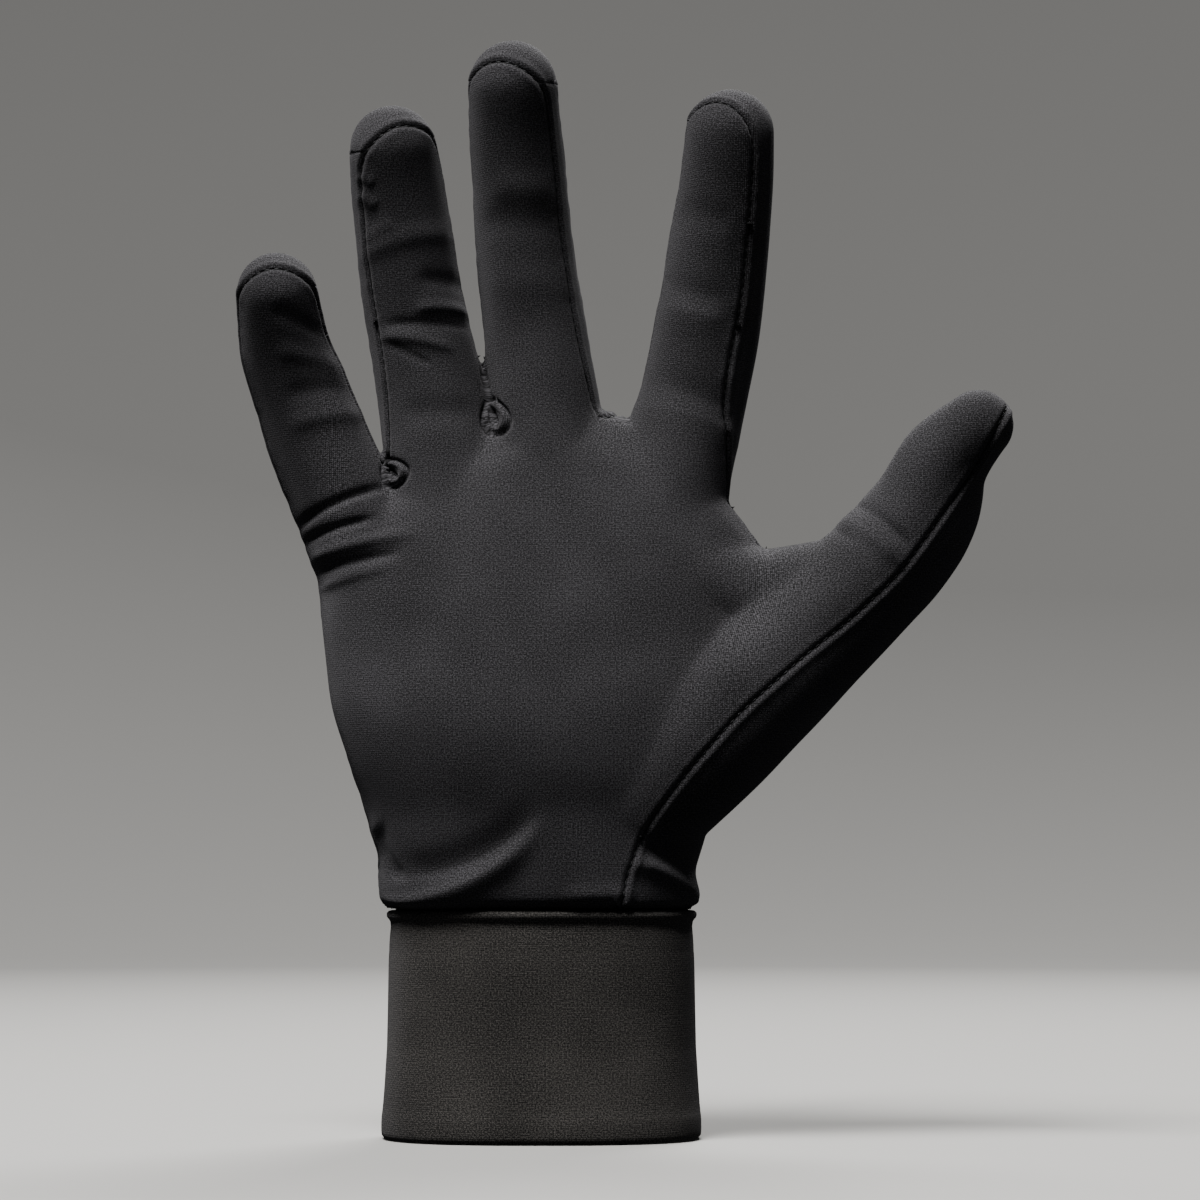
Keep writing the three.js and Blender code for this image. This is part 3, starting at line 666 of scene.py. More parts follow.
class Skin:
    """A triangle skin: points with outward normals, the corners of its triangles, and their panels.

    Pinned points lie on a seam. Once the skin is dressed, knit holds where each point lies on the cloth and
    seam how far it is from its seam.
    """

    def __init__(self, points, corners):
        self.points = points
        self.corners = corners
        self.pinned = np.zeros(len(points), bool)
        self.panels = np.zeros(len(corners), int)
        self.normals = self.point_normals()
        self.knit = None
        self.seam = None

    def point_normals(self):
        """Each point's normal, the mean of its triangles' by their areas."""
        a, b, c = (self.points[self.corners[:, k]] for k in range(3))
        face = np.cross(b - a, c - a)
        normals = np.zeros_like(self.points)
        for k in range(3):
            for axis in range(3):
                normals[:, axis] += np.bincount(self.corners[:, k], face[:, axis], len(self.points))
        return unit(normals)

    def even(self, passes, fixed=None):
        """Evens out the triangles. Where the skin faces front or back it is smoothed as well."""
        edges, _of_triangle = self.edges()
        a, b = edges.T
        count = np.bincount(edges.ravel(), minlength=len(self.points))
        for _ in range(passes):
            total = np.column_stack([
                np.bincount(a, self.points[b, axis], len(self.points))
                + np.bincount(b, self.points[a, axis], len(self.points)) for axis in range(3)])
            step = total / count[:, None] - self.points
            normals = self.point_normals()
            lift = (step * normals).sum(axis=1)
            kept = 1 - soft_step((np.abs(normals[:, 1]) - SIDE_FACING) / (1 - SIDE_FACING))
            step -= normals * (lift * kept)[:, None]
            if fixed is not None:
                step[fixed] = 0
            self.points = self.points + step / 2
        self.normals = self.point_normals()

    def edges(self):
        """Each edge once, as two points, and the three edges of each triangle."""
        pairs = np.sort(self.corners[:, [0, 1, 1, 2, 2, 0]].reshape(-1, 2), axis=1)
        keys, of_triangle = np.unique(pairs[:, 0] * len(self.points) + pairs[:, 1], return_inverse=True)
        return np.column_stack(np.divmod(keys, len(self.points))), of_triangle.reshape(-1, 3)

    def split(self, edges, of_triangle, chosen, shares, pinned):
        """Splits the chosen edges at their shares, and the triangles beside them with them."""
        middle = np.full(len(edges), -1)
        middle[chosen] = len(self.points) + np.arange(len(chosen))
        a, b = edges[chosen].T
        shares = shares[:, None]
        self.points = np.vstack([self.points, mix(self.points[a], self.points[b], shares)])
        normals = unit(mix(self.normals[a], self.normals[b], shares))
        self.normals = np.vstack([self.normals, normals])
        self.pinned = np.concatenate([self.pinned, np.full(len(chosen), pinned)])
        cuts = middle[of_triangle]
        count = (cuts >= 0).sum(axis=1)
        turn = np.where(count == 2, np.argmin(cuts, axis=1), np.argmax(cuts >= 0, axis=1))
        order = (turn[:, None] + np.arange(3)) % 3
        a, b, c = np.take_along_axis(self.corners, order, axis=1).T
        ab, bc, ca = np.take_along_axis(cuts, order, axis=1).T
        pieces = {
            0: [(a, b, c)],
            1: [(a, ab, c), (ab, b, c)],
            2: [(a, b, bc), (a, bc, ca), (ca, bc, c)],
            3: [(a, ab, ca), (ab, b, bc), (ca, bc, c), (ab, bc, ca)],
        }
        corners, panels = [], []
        for cut_edges, triangles in pieces.items():
            mask = count == cut_edges
            for triangle in triangles:
                corners.append(np.column_stack([corner[mask] for corner in triangle]))
                panels.append(self.panels[mask])
        self.corners = np.vstack(corners)
        self.panels = np.concatenate(panels)

    def cut(self, field, applies):
        """Puts a line of points along a field's nought: near ones move onto it, crossed edges are split."""
        values = field(self.points)
        near = np.flatnonzero(np.abs(values) < SNAP)
        near = near[applies(self.points[near])]
        fixed = near[self.pinned[near]]
        values[fixed[np.abs(values[fixed]) < SNAP / 3]] = 0
        free = near[~self.pinned[near]]
        slope = np.column_stack([
            (field(self.points[free] + step) - values[free]) / FIELD_STEP for step in np.eye(3) * FIELD_STEP])
        slope -= self.normals[free] * (slope * self.normals[free]).sum(axis=1, keepdims=True)
        size = np.linalg.norm(slope, axis=1)
        steep = (size > FIELD_SLOPE) & (np.abs(values[free]) < SNAP * size)
        free, slope = free[steep], slope[steep]
        self.points[free] -= slope * (values[free] / (slope ** 2).sum(axis=1))[:, None]
        self.pinned[free] = True
        values[free] = 0
        edges, of_triangle = self.edges()
        first, second = values[edges].T
        chosen = np.flatnonzero(first * second < 0)
        shares = first[chosen] / (first[chosen] - second[chosen])
        a, b = edges[chosen].T
        wanted = applies(mix(self.points[a], self.points[b], shares[:, None]))
        self.split(edges, of_triangle, chosen[wanted], shares[wanted], True)

    def drop_slivers(self):
        """Merges away the slivers that the cuts leave, and starts again from the mended skin."""
        mesh = bpy.data.meshes.new("slivers")
        mesh.from_pydata(self.points.tolist(), [], self.corners.tolist())
        mended = bmesh.new()
        mended.from_mesh(mesh)
        bmesh.ops.dissolve_degenerate(mended, dist=SLIVER, edges=mended.edges)
        bmesh.ops.triangulate(mended, faces=mended.faces)
        mended.to_mesh(mesh)
        mended.free()
        self.__init__(*mesh_arrays(mesh))

    def neighbours(self):
        """The triangle across each side of each triangle."""
        edges, of_triangle = self.edges()
        order = np.argsort(of_triangle.ravel(), kind="stable")
        pairs = (order // 3).reshape(-1, 2)
        across = np.empty(of_triangle.size, int)
        across[order] = pairs[:, ::-1].ravel()
        return across.reshape(-1, 3)

    def sort_panels(self):
        """Names each triangle's panel. One cut off from the rest of its panel joins the panel beside it."""
        self.panels = panel_at(self.points[self.corners].mean(axis=1))
        across = self.neighbours()
        seen = np.zeros(len(self.corners), bool)
        patches = {}
        for first in range(len(self.corners)):
            if seen[first]:
                continue
            seen[first] = True
            patch = [first]
            for i in patch:
                for other in across[i]:
                    if not seen[other] and self.panels[other] == self.panels[first]:
                        seen[other] = True
                        patch.append(other)
            patches.setdefault(self.panels[first], []).append(patch)
        for group in patches.values():
            group.sort(key=len, reverse=True)
            for patch in group[1:]:
                around = np.setdiff1d(across[patch], patch)
                self.panels[patch] = self.panels[around[0]]

    def borders(self):
        """The edges along which two panels meet, and the two panels of each."""
        edges, of_triangle = self.edges()
        order = np.argsort(of_triangle.ravel(), kind="stable")
        sides = np.sort(self.panels[order // 3].reshape(-1, 2), axis=1)
        chosen = sides[:, 0] != sides[:, 1]
        return edges[chosen], sides[chosen]

    def smooth_borders(self, passes):
        """Evens out the seam lines, whose ends stay where they are."""
        edges, _sides = self.borders()
        ends = np.bincount(edges.ravel(), minlength=len(self.points))
        inside = ends == 2
        for _ in range(passes):
            for values in (self.points, self.normals):
                total = np.zeros_like(values)
                np.add.at(total, edges[:, 0], values[edges[:, 1]])
                np.add.at(total, edges[:, 1], values[edges[:, 0]])
                values[inside] = values[inside] / 2 + total[inside] / 4
        self.normals = unit(self.normals)

    def panel_points(self, panel):
        """The triangles of one panel, numbered anew, and the points that they use."""
        corners = self.corners[self.panels == panel]
        used, renumbered = np.unique(corners, return_inverse=True)
        return used, renumbered.reshape(-1, 3)

    def refine(self, distances, reach, length):
        """Halves edges longer than a length whose distance is within reach, and returns all distances."""
        edges, of_triangle = self.edges()
        a, b = edges.T
        long = np.linalg.norm(self.points[a] - self.points[b], axis=1) > length
        chosen = np.flatnonzero(long & (np.minimum(distances[a], distances[b]) < reach))
        self.split(edges, of_triangle, chosen, np.full(len(chosen), 0.5), False)
        a, b = edges[chosen].T
        return np.concatenate([distances, (distances[a] + distances[b]) / 2])


LIMBS = {name: limb_joints(name, JOINT_STEP) for name in DIGITS}


def deselect():
    """An operator acts on all that is selected, so nothing is left selected."""
    for item in bpy.data.objects:
        item.select_set(False)


def new_mesh(name, points, faces):
    """A new object whose place is in its mesh, made active."""
    mesh = bpy.data.meshes.new(name)
    mesh.from_pydata([tuple(map(float, point)) for point in points], [], faces)
    piece = bpy.data.objects.new(name, mesh)
    bpy.context.scene.collection.objects.link(piece)
    deselect()
    bpy.context.view_layer.objects.active = piece
    piece.select_set(True)
    return piece


def finish_modifier(piece, kind, **settings):
    """Adds one modifier to the active piece and applies it."""
    modifier = piece.modifiers.new(kind.title(), kind)
    for key, value in settings.items():
        setattr(modifier, key, value)
    bpy.ops.object.modifier_apply(modifier=modifier.name)


def mesh_arrays(mesh):
    """A triangle mesh's points and corners. The mesh is dropped."""
    places = np.empty(3 * len(mesh.vertices))
    corners = np.empty(3 * len(mesh.polygons), int)
    mesh.vertices.foreach_get("co", places)
    mesh.polygons.foreach_get("vertices", corners)
    bpy.data.meshes.remove(mesh)
    return places.reshape(-1, 3), corners.reshape(-1, 3)


def hand_skin():
    """The whole hand's skin as one even mesh, with soft hollows where its limbs meet."""
    digits = [limb_skin(limb_joints(name, RING_STEP)) for name in DIGITS]
    piece = new_mesh("hand_skin", *joined([palm_skin(), web_skin(), *digits]))
    finish_modifier(piece, "REMESH", mode="VOXEL", voxel_size=VOXEL)
    finish_modifier(piece, "SMOOTH", factor=SKIN_SMOOTHING, iterations=SKIN_PASSES)
    finish_modifier(piece, "DECIMATE", ratio=KEPT_SHARE)
    finish_modifier(piece, "TRIANGULATE")
    mesh = piece.data
    bpy.data.objects.remove(piece)
    return Skin(*mesh_arrays(mesh))


# Folds, seams and puckers of the worn cloth

def fold_heights(points, folds):
    """Height of the folds at each point: ridges along bowed lines, seen from the front."""
    flat = points[:, [0, 2]] / MM
    total = np.zeros(len(points))
    for x, z, to_x, to_z, bow, height, below, above in folds:
        along = np.array([to_x - x, to_z - z])
        length = np.linalg.norm(along)
        along = along / length
        start = flat - [x, z]
        share = start @ along / length
        off = start @ [-along[1], along[0]] - bow * 4 * share * (1 - share)
        width = np.where(off > 0, above, below)
        taper = soft_step((np.minimum(share, 1 - share) + FOLD_TAPER / 2) / FOLD_TAPER)
        total += height * MM * bell(off / width) * taper
    return total


def loop_heights(points):
    """Height at each point of the loops where the finger strips end."""
    flat = points[:, [0, 2]] / MM
    total = np.zeros(len(points))
    for x, z, lean, half_width, half_height in LOOPS:
        up = np.array([-math.sin(math.radians(lean)), math.cos(math.radians(lean))])
        rise = (flat - [x, z]) @ up / half_height
        across = (flat - [x, z]) @ [up[1], -up[0]]
        place = np.hypot(across / (half_width * (1 - LOOP_NARROWING * np.clip(rise, -1, 1))), rise)
        for sign, (height, middle, width) in ((-1, LOOP_EDGE), (1, LOOP_ROLL)):
            total += sign * height * bell((place - middle) / width)
        # The slit fades out over the last half of its length.
        depth, end, width = LOOP_SLIT
        total -= depth * bell(across / width) * soft_step((end - place) / end * 2)
    return total * MM


def front_heights(skin):
    """Height of the front's folds and loops at each point; they fade out round the sides."""
    facing = np.clip(FACING - skin.normals[:, 1], 0, 1)
    return facing * (fold_heights(skin.points, FRONT_FOLDS) + loop_heights(skin.points))


def sewn_edges(skin):
    """The border edges that show as seams, and whether each is on the cuff's seam.

    A finger strip runs on into the cap over its fingertip, so between those two no seam shows.
    """
    edges, sides = skin.borders()
    joined = (sides[:, 0] == PANELS.index(BACK_PANEL)) & (sides[:, 1] < WASTE)
    joined &= on_hand(skin.points[edges].mean(axis=1))["cap"] > CAP_LEAST
    return edges[~joined], sides[~joined, 1] == WASTE


def seam_points(skin):
    """Points close together along the seams, and whether each is on the cuff's seam."""
    edges, on_cuff = sewn_edges(skin)
    a, b = (skin.points[edges[:, k]] for k in range(2))
    steps = (np.arange(SEAM_SHARES) + 0.5) / SEAM_SHARES
    places = mix(a[:, None], b[:, None], steps[:, None]).reshape(-1, 3)
    return places, np.repeat(on_cuff, SEAM_SHARES)


def seam_lines(skin):
    """The seams between panels as runs of point numbers, each from an end or meeting point to the next."""
    edges, on_cuff = sewn_edges(skin)
    beside_point = {}
    for a, b in edges[~on_cuff].tolist():
        beside_point.setdefault(a, []).append(b)
        beside_point.setdefault(b, []).append(a)
    ends = [point for point, others in beside_point.items() if len(others) != 2]
    stops = set(ends)
    lines = []
    for start in ends + list(beside_point):
        while beside_point[start]:
            line = [start]
            while beside_point[line[-1]] and (len(line) == 1 or line[-1] not in stops):
                point = beside_point[line[-1]].pop()
                beside_point[point].remove(line[-1])
                line.append(point)
            lines.append(line)
    return lines


def seam_distances(skin, places, reach):
    """Distance of each point of the skin from the nearest seam, and which seam point that is."""
    tree = KDTree(len(places))
    for i, place in enumerate(places):
        tree.insert(place, i)
    tree.balance()
    found = [tree.find(point)[1:] for point in skin.points]
    nearest, distances = map(np.array, zip(*found))
    return np.minimum(distances, reach), nearest


def rough(places, pitch, seed):
    """Smooth noise of about one bump a pitch at each place, from -1 to 1."""
    shift = Vector((seed, 2 * seed, 3 * seed))
    return np.array([noise.noise(Vector(place) / pitch + shift) for place in places])


def palm_wrap(points):
    """How much longer the way round the palm's edges is than the straight way across."""
    up, _cuff, left, right, fore, depth, _dome, breadth, deep = palm_rows().T
    rise = (points[:, 2] - CUFF_HEIGHT) / PALM_LENGTH
    half, middle, ahead, radius = (np.interp(rise, up, values) for values in (
        (left + right) / 2 * breadth, (right - left) / 2 * breadth, -fore * deep,
        np.maximum(depth, PALM_EDGE) * deep / 2))
    across = points[:, 0] - middle
    past = np.clip(np.abs(across) - (half - radius), 0, radius)
    wrap = radius * np.arctan2(past, np.abs(points[:, 1] - ahead)) - past
    return np.sign(across) * wrap


def knit_places(skin):
    """Where each point lies on the cloth, in metres: across its wales and up them."""
    wrap = on_hand(skin.points)["wrap"] + palm_wrap(skin.points)
    edges, _of_triangle = skin.edges()
    a, b = edges.T
    count = np.bincount(edges.ravel())
    for _ in range(KNIT_PASSES):
        total = np.bincount(a, wrap[b], len(wrap)) + np.bincount(b, wrap[a], len(wrap))
        wrap = (wrap + total / count) / 2
    return np.column_stack([skin.points[:, 0] + wrap, skin.points[:, 2]])


def dress_skin(skin, sizes):
    """Moves the skin out and in: folds, slack, the grooves and rolls of the seams and their puckers."""
    places, on_cuff = seam_points(skin)
    distances, _nearest = seam_distances(skin, places, SEAM_REACH)
    for reach, length in FINE_EDGES:
        distances = skin.refine(distances, reach, length)
        skin.smooth_borders(FINE_PASSES)
        skin.even(FINE_PASSES, np.unique(skin.borders()[0]))
    for length in FOLD_EDGES:
        skin.refine(-np.abs(front_heights(skin)), -FOLD_LEAST, length)
    facing = skin.normals[:, 1] < FACING
    skin.refine(-np.abs(loop_heights(skin.points)) * facing, -FOLD_LEAST, LOOP_FINENESS)
    places, on_cuff = seam_points(skin)
    distances, nearest = seam_distances(skin, places, SEAM_REACH)
    skin.knit = knit_places(skin)
    skin.seam = distances
    panel = np.zeros(len(skin.points), int)
    for k in range(3):
        panel[skin.corners[:, k]] = skin.panels
    roll = np.array([ROLLS[name] for name in PANELS] + [0])[panel]
    back = np.clip(FACING + skin.normals[:, 1], 0, 1)
    move = front_heights(skin) + back * fold_heights(skin.points, BACK_FOLDS)
    move += SLACK * rough(skin.points, SLACK_PITCH, 1)
    pucker = rough(places, PUCKER_PITCH, 2)[nearest]
    cuff_seam = on_cuff[nearest]
    groove = np.where(cuff_seam, CUFF_GROOVE, sizes.groove_depth)
    move -= groove * bell(distances / np.where(cuff_seam, CUFF_GROOVE_WIDTH, sizes.groove_width))
    move += roll * bell((distances - ROLL_PLACE) / ROLL_WIDTH)
    move += sizes.pucker_height * pucker * bell((distances - PUCKER_PLACE) / PUCKER_WIDTH)
    skin.points = skin.points + skin.normals * move[:, None]


class GloveSkin:
    """The dressed skin is made once and shared by the operators."""

    made = None

    @classmethod
    def get(cls, sizes):
        """The dressed skin: lofted, cut along its seams, sorted into panels, and folded."""
        if cls.made is None:
            skin = hand_skin()
            skin.even(EVEN_PASSES)
            for field, applies in SEAMS:
                skin.cut(field, applies)
            skin.drop_slivers()
            skin.sort_panels()
            skin.smooth_borders(SEAM_PASSES)
            skin.even(LAST_EVEN_PASSES, np.unique(skin.borders()[0]))
            dress_skin(skin, sizes)
            cls.made = skin
        return cls.made


def lay_knit(piece, places, seam):
    """Gives a piece its knit coordinates as a UV map, and each point's distance from its seam."""
    piece.data.attributes.new(SEAM_MAP, "FLOAT", "POINT").data.foreach_set("value", seam)
    layer = piece.data.uv_layers.new(name=KNIT_MAP)
    corners = np.empty(len(piece.data.loops), int)
    piece.data.loops.foreach_get("vertex_index", corners)
    layer.data.foreach_set("uv", places[corners].ravel())


def dress(piece, material, slot=None, *nodes):
    """Finishes a piece: smooth shading, its material, and the solids that it stands for. The slot is not
    used.
    """
    piece.data.polygons.foreach_set("use_smooth", np.ones(len(piece.data.polygons), bool))
    piece.data.materials.append(material)
    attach(piece, "root")
    if nodes:
        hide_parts(*nodes)


# Materials

def linear(colour):
    """An sRGB hex colour turned to linear."""
    channels = [int(colour[i:i + 2], 16) / 255 for i in (1, 3, 5)]
    return (*(c / 12.92 if c <= 0.04045 else ((c + 0.055) / 1.055) ** 2.4 for c in channels), 1.0)


def add_node(tree, kind, inputs=None, **settings):
    """Adds a node with its settings. An input is a value, or the output or node that feeds it."""
    node = tree.nodes.new(kind)
    for key, value in settings.items():
        setattr(node, key, value)
    for key, value in (inputs or {}).items():
        if isinstance(value, bpy.types.Node):
            value = value.outputs[0]
        if isinstance(value, bpy.types.NodeSocket):
            tree.links.new(value, node.inputs[key])
        else:
            node.inputs[key].default_value = value
    return node


def new_material(name):
    """A material with an empty tree, and that tree."""
    material = bpy.data.materials.new(name)
    material.use_nodes = True
    material.node_tree.nodes.clear()
    return material, material.node_tree


# The knit is brushed jersey of black-dyed polyester and elastane yarn, machine knitted in columns of V
# stitches and raised a little on its face. It is matt, soft grey on its stitches' tops as painted light and
# nearly black between its stitches as painted shade. It is flecked with specks that are lint and painted
# glints off its loops, and cloudy where the dye took unevenly, with a faint sheen of loose fibres at grazing
# angles. Real wales of this gauge are about 0.4 mm apart and courses 0.3 mm, too fine to show, so both are
# drawn coarser, at the sizes below, and so are the specks.
def knit_material(name, dark, light, sizes):
    """Brushed jersey: columns of V stitches with painted light on their tops and painted shade between them,
    specks of lint and painted glints, a soft sheen and a dark line of painted shade at each seam.
    """
    material, tree = new_material(name)
    maths = "ShaderNodeMath"
    place = add_node(tree, "ShaderNodeUVMap", uv_map=KNIT_MAP).outputs["UV"]
    parts = add_node(tree, "ShaderNodeSeparateXYZ", {"Vector": place})
    wale = add_node(tree, maths, {0: parts.outputs["X"], 1: sizes.wale_pitch}, operation="DIVIDE")
    across = add_node(tree, maths, {0: wale, 1: 0.5}, operation="PINGPONG")
    turn = add_node(tree, maths, {0: across, 1: math.tau}, operation="MULTIPLY")
    leg = add_node(tree, maths, {0: turn}, operation="SINE")
    course = add_node(tree, maths, {0: parts.outputs["Y"], 1: sizes.course_pitch}, operation="DIVIDE")
    slanted = add_node(tree, maths, {0: across, 1: STITCH_SLANT, 2: course}, operation="MULTIPLY_ADD")
    phase = add_node(tree, maths, {0: slanted, 1: math.tau}, operation="MULTIPLY")
    stitch = add_node(tree, maths, {0: phase}, operation="COSINE")
    height = add_node(tree, maths, {0: stitch, 1: LEG_SWELL, 2: 1 - LEG_SWELL}, operation="MULTIPLY_ADD")
    lift = add_node(tree, maths, {0: leg, 1: height}, operation="MULTIPLY")
    speck = add_node(tree, "ShaderNodeTexNoise", {
        "Vector": place, "Scale": 1 / LINT_AND_GLINT_SIZE, "Detail": 2.0, "Roughness": 0.7})
    cloud = add_node(tree, "ShaderNodeTexNoise", {
        "Vector": add_node(tree, "ShaderNodeTexCoord").outputs["Object"],
        "Scale": 1 / CLOUD_SIZE, "Detail": 2.0})
    # The tone is painted light on the stitches' tops and painted shade between them, and lighter at the
    # specks, which are lint and painted glints.
    tone = add_node(tree, maths, {0: cloud, 1: CLOUD_TONE}, operation="MULTIPLY")
    tone = add_node(tree, maths, {0: speck, 1: LINT_AND_GLINT_TONE, 2: tone}, operation="MULTIPLY_ADD")
    tone = add_node(tree, maths, {0: lift, 1: STITCH_SHADE_TONE, 2: tone}, operation="MULTIPLY_ADD")
    ramp = add_node(tree, "ShaderNodeMapRange", {
        "Value": tone, "From Min": TONE_RANGE[0], "From Max": TONE_RANGE[1]},
        interpolation_type="SMOOTHSTEP")
    colour = add_node(tree, "ShaderNodeMix", {
        "Factor": ramp, 6: linear(dark), 7: linear(light)}, data_type="RGBA")
    # A dark line of painted shade in each seam's groove, where the knit turns in.
    beside_seam = add_node(tree, "ShaderNodeMapRange", {
        "Value": add_node(tree, "ShaderNodeAttribute", attribute_name=SEAM_MAP).outputs["Fac"],
        "From Min": SEAM_SHADE_LINE[0], "From Max": SEAM_SHADE_LINE[1]}, interpolation_type="SMOOTHSTEP")
    colour = add_node(tree, "ShaderNodeMix", {
        "Factor": beside_seam, 6: linear(dark), 7: colour.outputs[2]}, data_type="RGBA")
    fuzz = add_node(tree, maths, {0: speck, 1: LINT_HEIGHT, 2: lift}, operation="MULTIPLY_ADD")
    fuzz = add_node(tree, maths, {0: beside_seam, 1: SEAM_DROP, 2: fuzz}, operation="MULTIPLY_ADD")
    bump = add_node(tree, "ShaderNodeBump", {
        "Strength": 0.7, "Distance": STITCH_DEPTH, "Height": fuzz})
    shader = add_node(tree, "ShaderNodeBsdfPrincipled", {
        "Base Color": colour.outputs[2], "Roughness": 0.85, "IOR": 1.45, "Specular IOR Level": 0.25,
        "Sheen Weight": 0.15, "Sheen Roughness": 0.4, "Sheen Tint": linear("#bdbabd"),
        "Normal": bump})
    add_node(tree, "ShaderNodeOutputMaterial", {"Surface": shader})
    return material


# The thread is spun polyester, twisted from plies and dyed black. It is smoother than the knit and shines
# softly, and its plies catch the light in short slanting bars, which show only from close by.
def thread_material(name, colour):
    """Spun polyester thread, banded by its twisted plies."""
    material, tree = new_material(name)
    plies = add_node(tree, "ShaderNodeTexWave", {
        "Vector": add_node(tree, "ShaderNodeTexCoord").outputs["Object"],
        "Scale": 1 / PLY_PITCH / math.tau, "Distortion": 0.6}, bands_direction="DIAGONAL")
    bump = add_node(tree, "ShaderNodeBump", {
        "Strength": 0.8, "Distance": PLY_DEPTH, "Height": plies.outputs["Fac"]})
    shader = add_node(tree, "ShaderNodeBsdfPrincipled", {
        "Base Color": linear(colour), "Roughness": 0.55, "IOR": 1.5, "Specular IOR Level": 0.5,
        "Normal": bump})
    add_node(tree, "ShaderNodeOutputMaterial", {"Surface": shader})
    return material


# What a user can change

class LINER_PG_sizes(bpy.types.PropertyGroup):
    """Sizes of the cloth and its seams."""

    wall: FloatProperty(
        name="Cloth", description="Thickness of one layer of knit with its nap", default=1.0 * MM,
        min=0.4 * MM, max=3 * MM, precision=5, unit="LENGTH")
    groove_depth: FloatProperty(
        name="Seam depth", description="How far a turned seam draws the cloth in", default=0.34 * MM,
        min=0, max=2 * MM, precision=5, unit="LENGTH")
    groove_width: FloatProperty(
        name="Seam width", description="Half the width of a seam's groove", default=0.55 * MM,
        min=0.2 * MM, max=3 * MM, precision=5, unit="LENGTH")
    pucker_height: FloatProperty(
        name="Puckers", description="Height of the puckers beside the seams", default=0.13 * MM,
        min=0, max=2 * MM, precision=5, unit="LENGTH")
    wale_pitch: FloatProperty(
        name="Wale pitch", description="Distance between two columns of stitches", default=0.56 * MM,
        min=0.1 * MM, max=5 * MM, precision=5, unit="LENGTH")
    course_pitch: FloatProperty(
        name="Course pitch", description="Distance between two rows of stitches", default=0.45 * MM,
        min=0.1 * MM, max=5 * MM, precision=5, unit="LENGTH")
    thread: FloatProperty(
        name="Thread", description="Thickness of the sewing thread", default=0.26 * MM,
        min=0.05 * MM, max=2 * MM, precision=5, unit="LENGTH")
    stitch_pitch: FloatProperty(
        name="Stitch pitch", description="Distance between two stitches along a seam", default=2.2 * MM,
        min=0.5 * MM, max=20 * MM, precision=5, unit="LENGTH")


class LINER_PG_colours(bpy.types.PropertyGroup):
    """Colours, as sRGB hex values."""

    # The knit's dark colour is painted shade between its stitches and along its seams; its light colour is
    # painted light on the stitches' tops.
    knit_dark: StringProperty(
        name="Knit, hollows", description="Colour between the stitches", default="#141314")
    knit_light: StringProperty(
        name="Knit, tops", description="Colour on the stitches", default="#5e5c5f")
    # The cuff's dark colour is painted shade between its stitches; its light colour is painted light on their
    # tops.
    cuff_dark: StringProperty(
        name="Cuff, hollows", description="Colour between the stitches", default="#171615")
    cuff_light: StringProperty(
        name="Cuff, tops", description="Colour on the stitches", default="#6e6a66")
    thread: StringProperty(
        name="Thread", description="Colour of the sewing thread", default="#131315")
    floor: StringProperty(
        name="Floor", description="Colour of the floor and backdrop", default="#c9c7c3")


# The pieces

class LINER_OT_panels(bpy.types.Operator):
    """Cut and sew the palm, the back and the strips between the fingers."""

    bl_idname = "liner.panels"
    bl_label = "Make panels"

    def execute(self, context):
        sizes = context.scene.liner_sizes
        colours = context.scene.liner_colours
        skin = GloveSkin.get(sizes)
        knit = knit_material("Black brushed jersey", colours.knit_dark, colours.knit_light, sizes)
        for number, name in enumerate(PANELS):
            used, corners = skin.panel_points(number)
            piece = new_mesh(name + "_knit", skin.points[used], corners.tolist())
            lay_knit(piece, skin.knit[used], skin.seam[used])
            piece.vertex_groups.new(name=INSIDE)
            finish_modifier(piece, "SOLIDIFY", thickness=sizes.wall, offset=-1, shell_vertex_group=INSIDE)
            finish_modifier(piece, "DECIMATE", ratio=PANEL_SHARE, vertex_group=INSIDE)
            piece.vertex_groups.clear()
            dress(piece, knit, "knit", name)
        return {"FINISHED"}


class LINER_OT_stitches(bpy.types.Operator):
    """Sew the seams with a row of small stitches."""

    bl_idname = "liner.stitches"
    bl_label = "Make stitches"

    def execute(self, context):
        sizes = context.scene.liner_sizes
        colours = context.scene.liner_colours
        skin = GloveSkin.get(sizes)
        turn = turns(THREAD_SIDES, 0)
        pitch = sizes.stitch_pitch
        spread = np.linspace(-0.5, 0.5, len(STITCH_RISE)) * STITCH_SHARE * pitch
        rise = np.array(STITCH_RISE) * sizes.thread
        tubes = []
        for line in seam_lines(skin):
            gone = lengths_along(skin.points[line])
            for middle in np.arange(pitch / 2, gone[-1] - pitch / 2, pitch):
                centre, up = (
                    np.column_stack([np.interp(middle + spread, gone, values[line, k]) for k in range(3)])
                    for values in (skin.points, skin.normals))
                along = np.gradient(centre, axis=0)
                across = unit(np.cross(up, along))
                centre += up * rise[:, None]
                spokes = np.cos(turn)[:, None] * across[:, None] + np.sin(turn)[:, None] * up[:, None]
                tubes.append(loft(centre[:, None] + spokes * sizes.thread / 2, centre[0], centre[-1]))
        piece = new_mesh("seam_stitches", *joined(tubes))
        dress(piece, thread_material("Spun polyester thread", colours.thread))
        return {"FINISHED"}


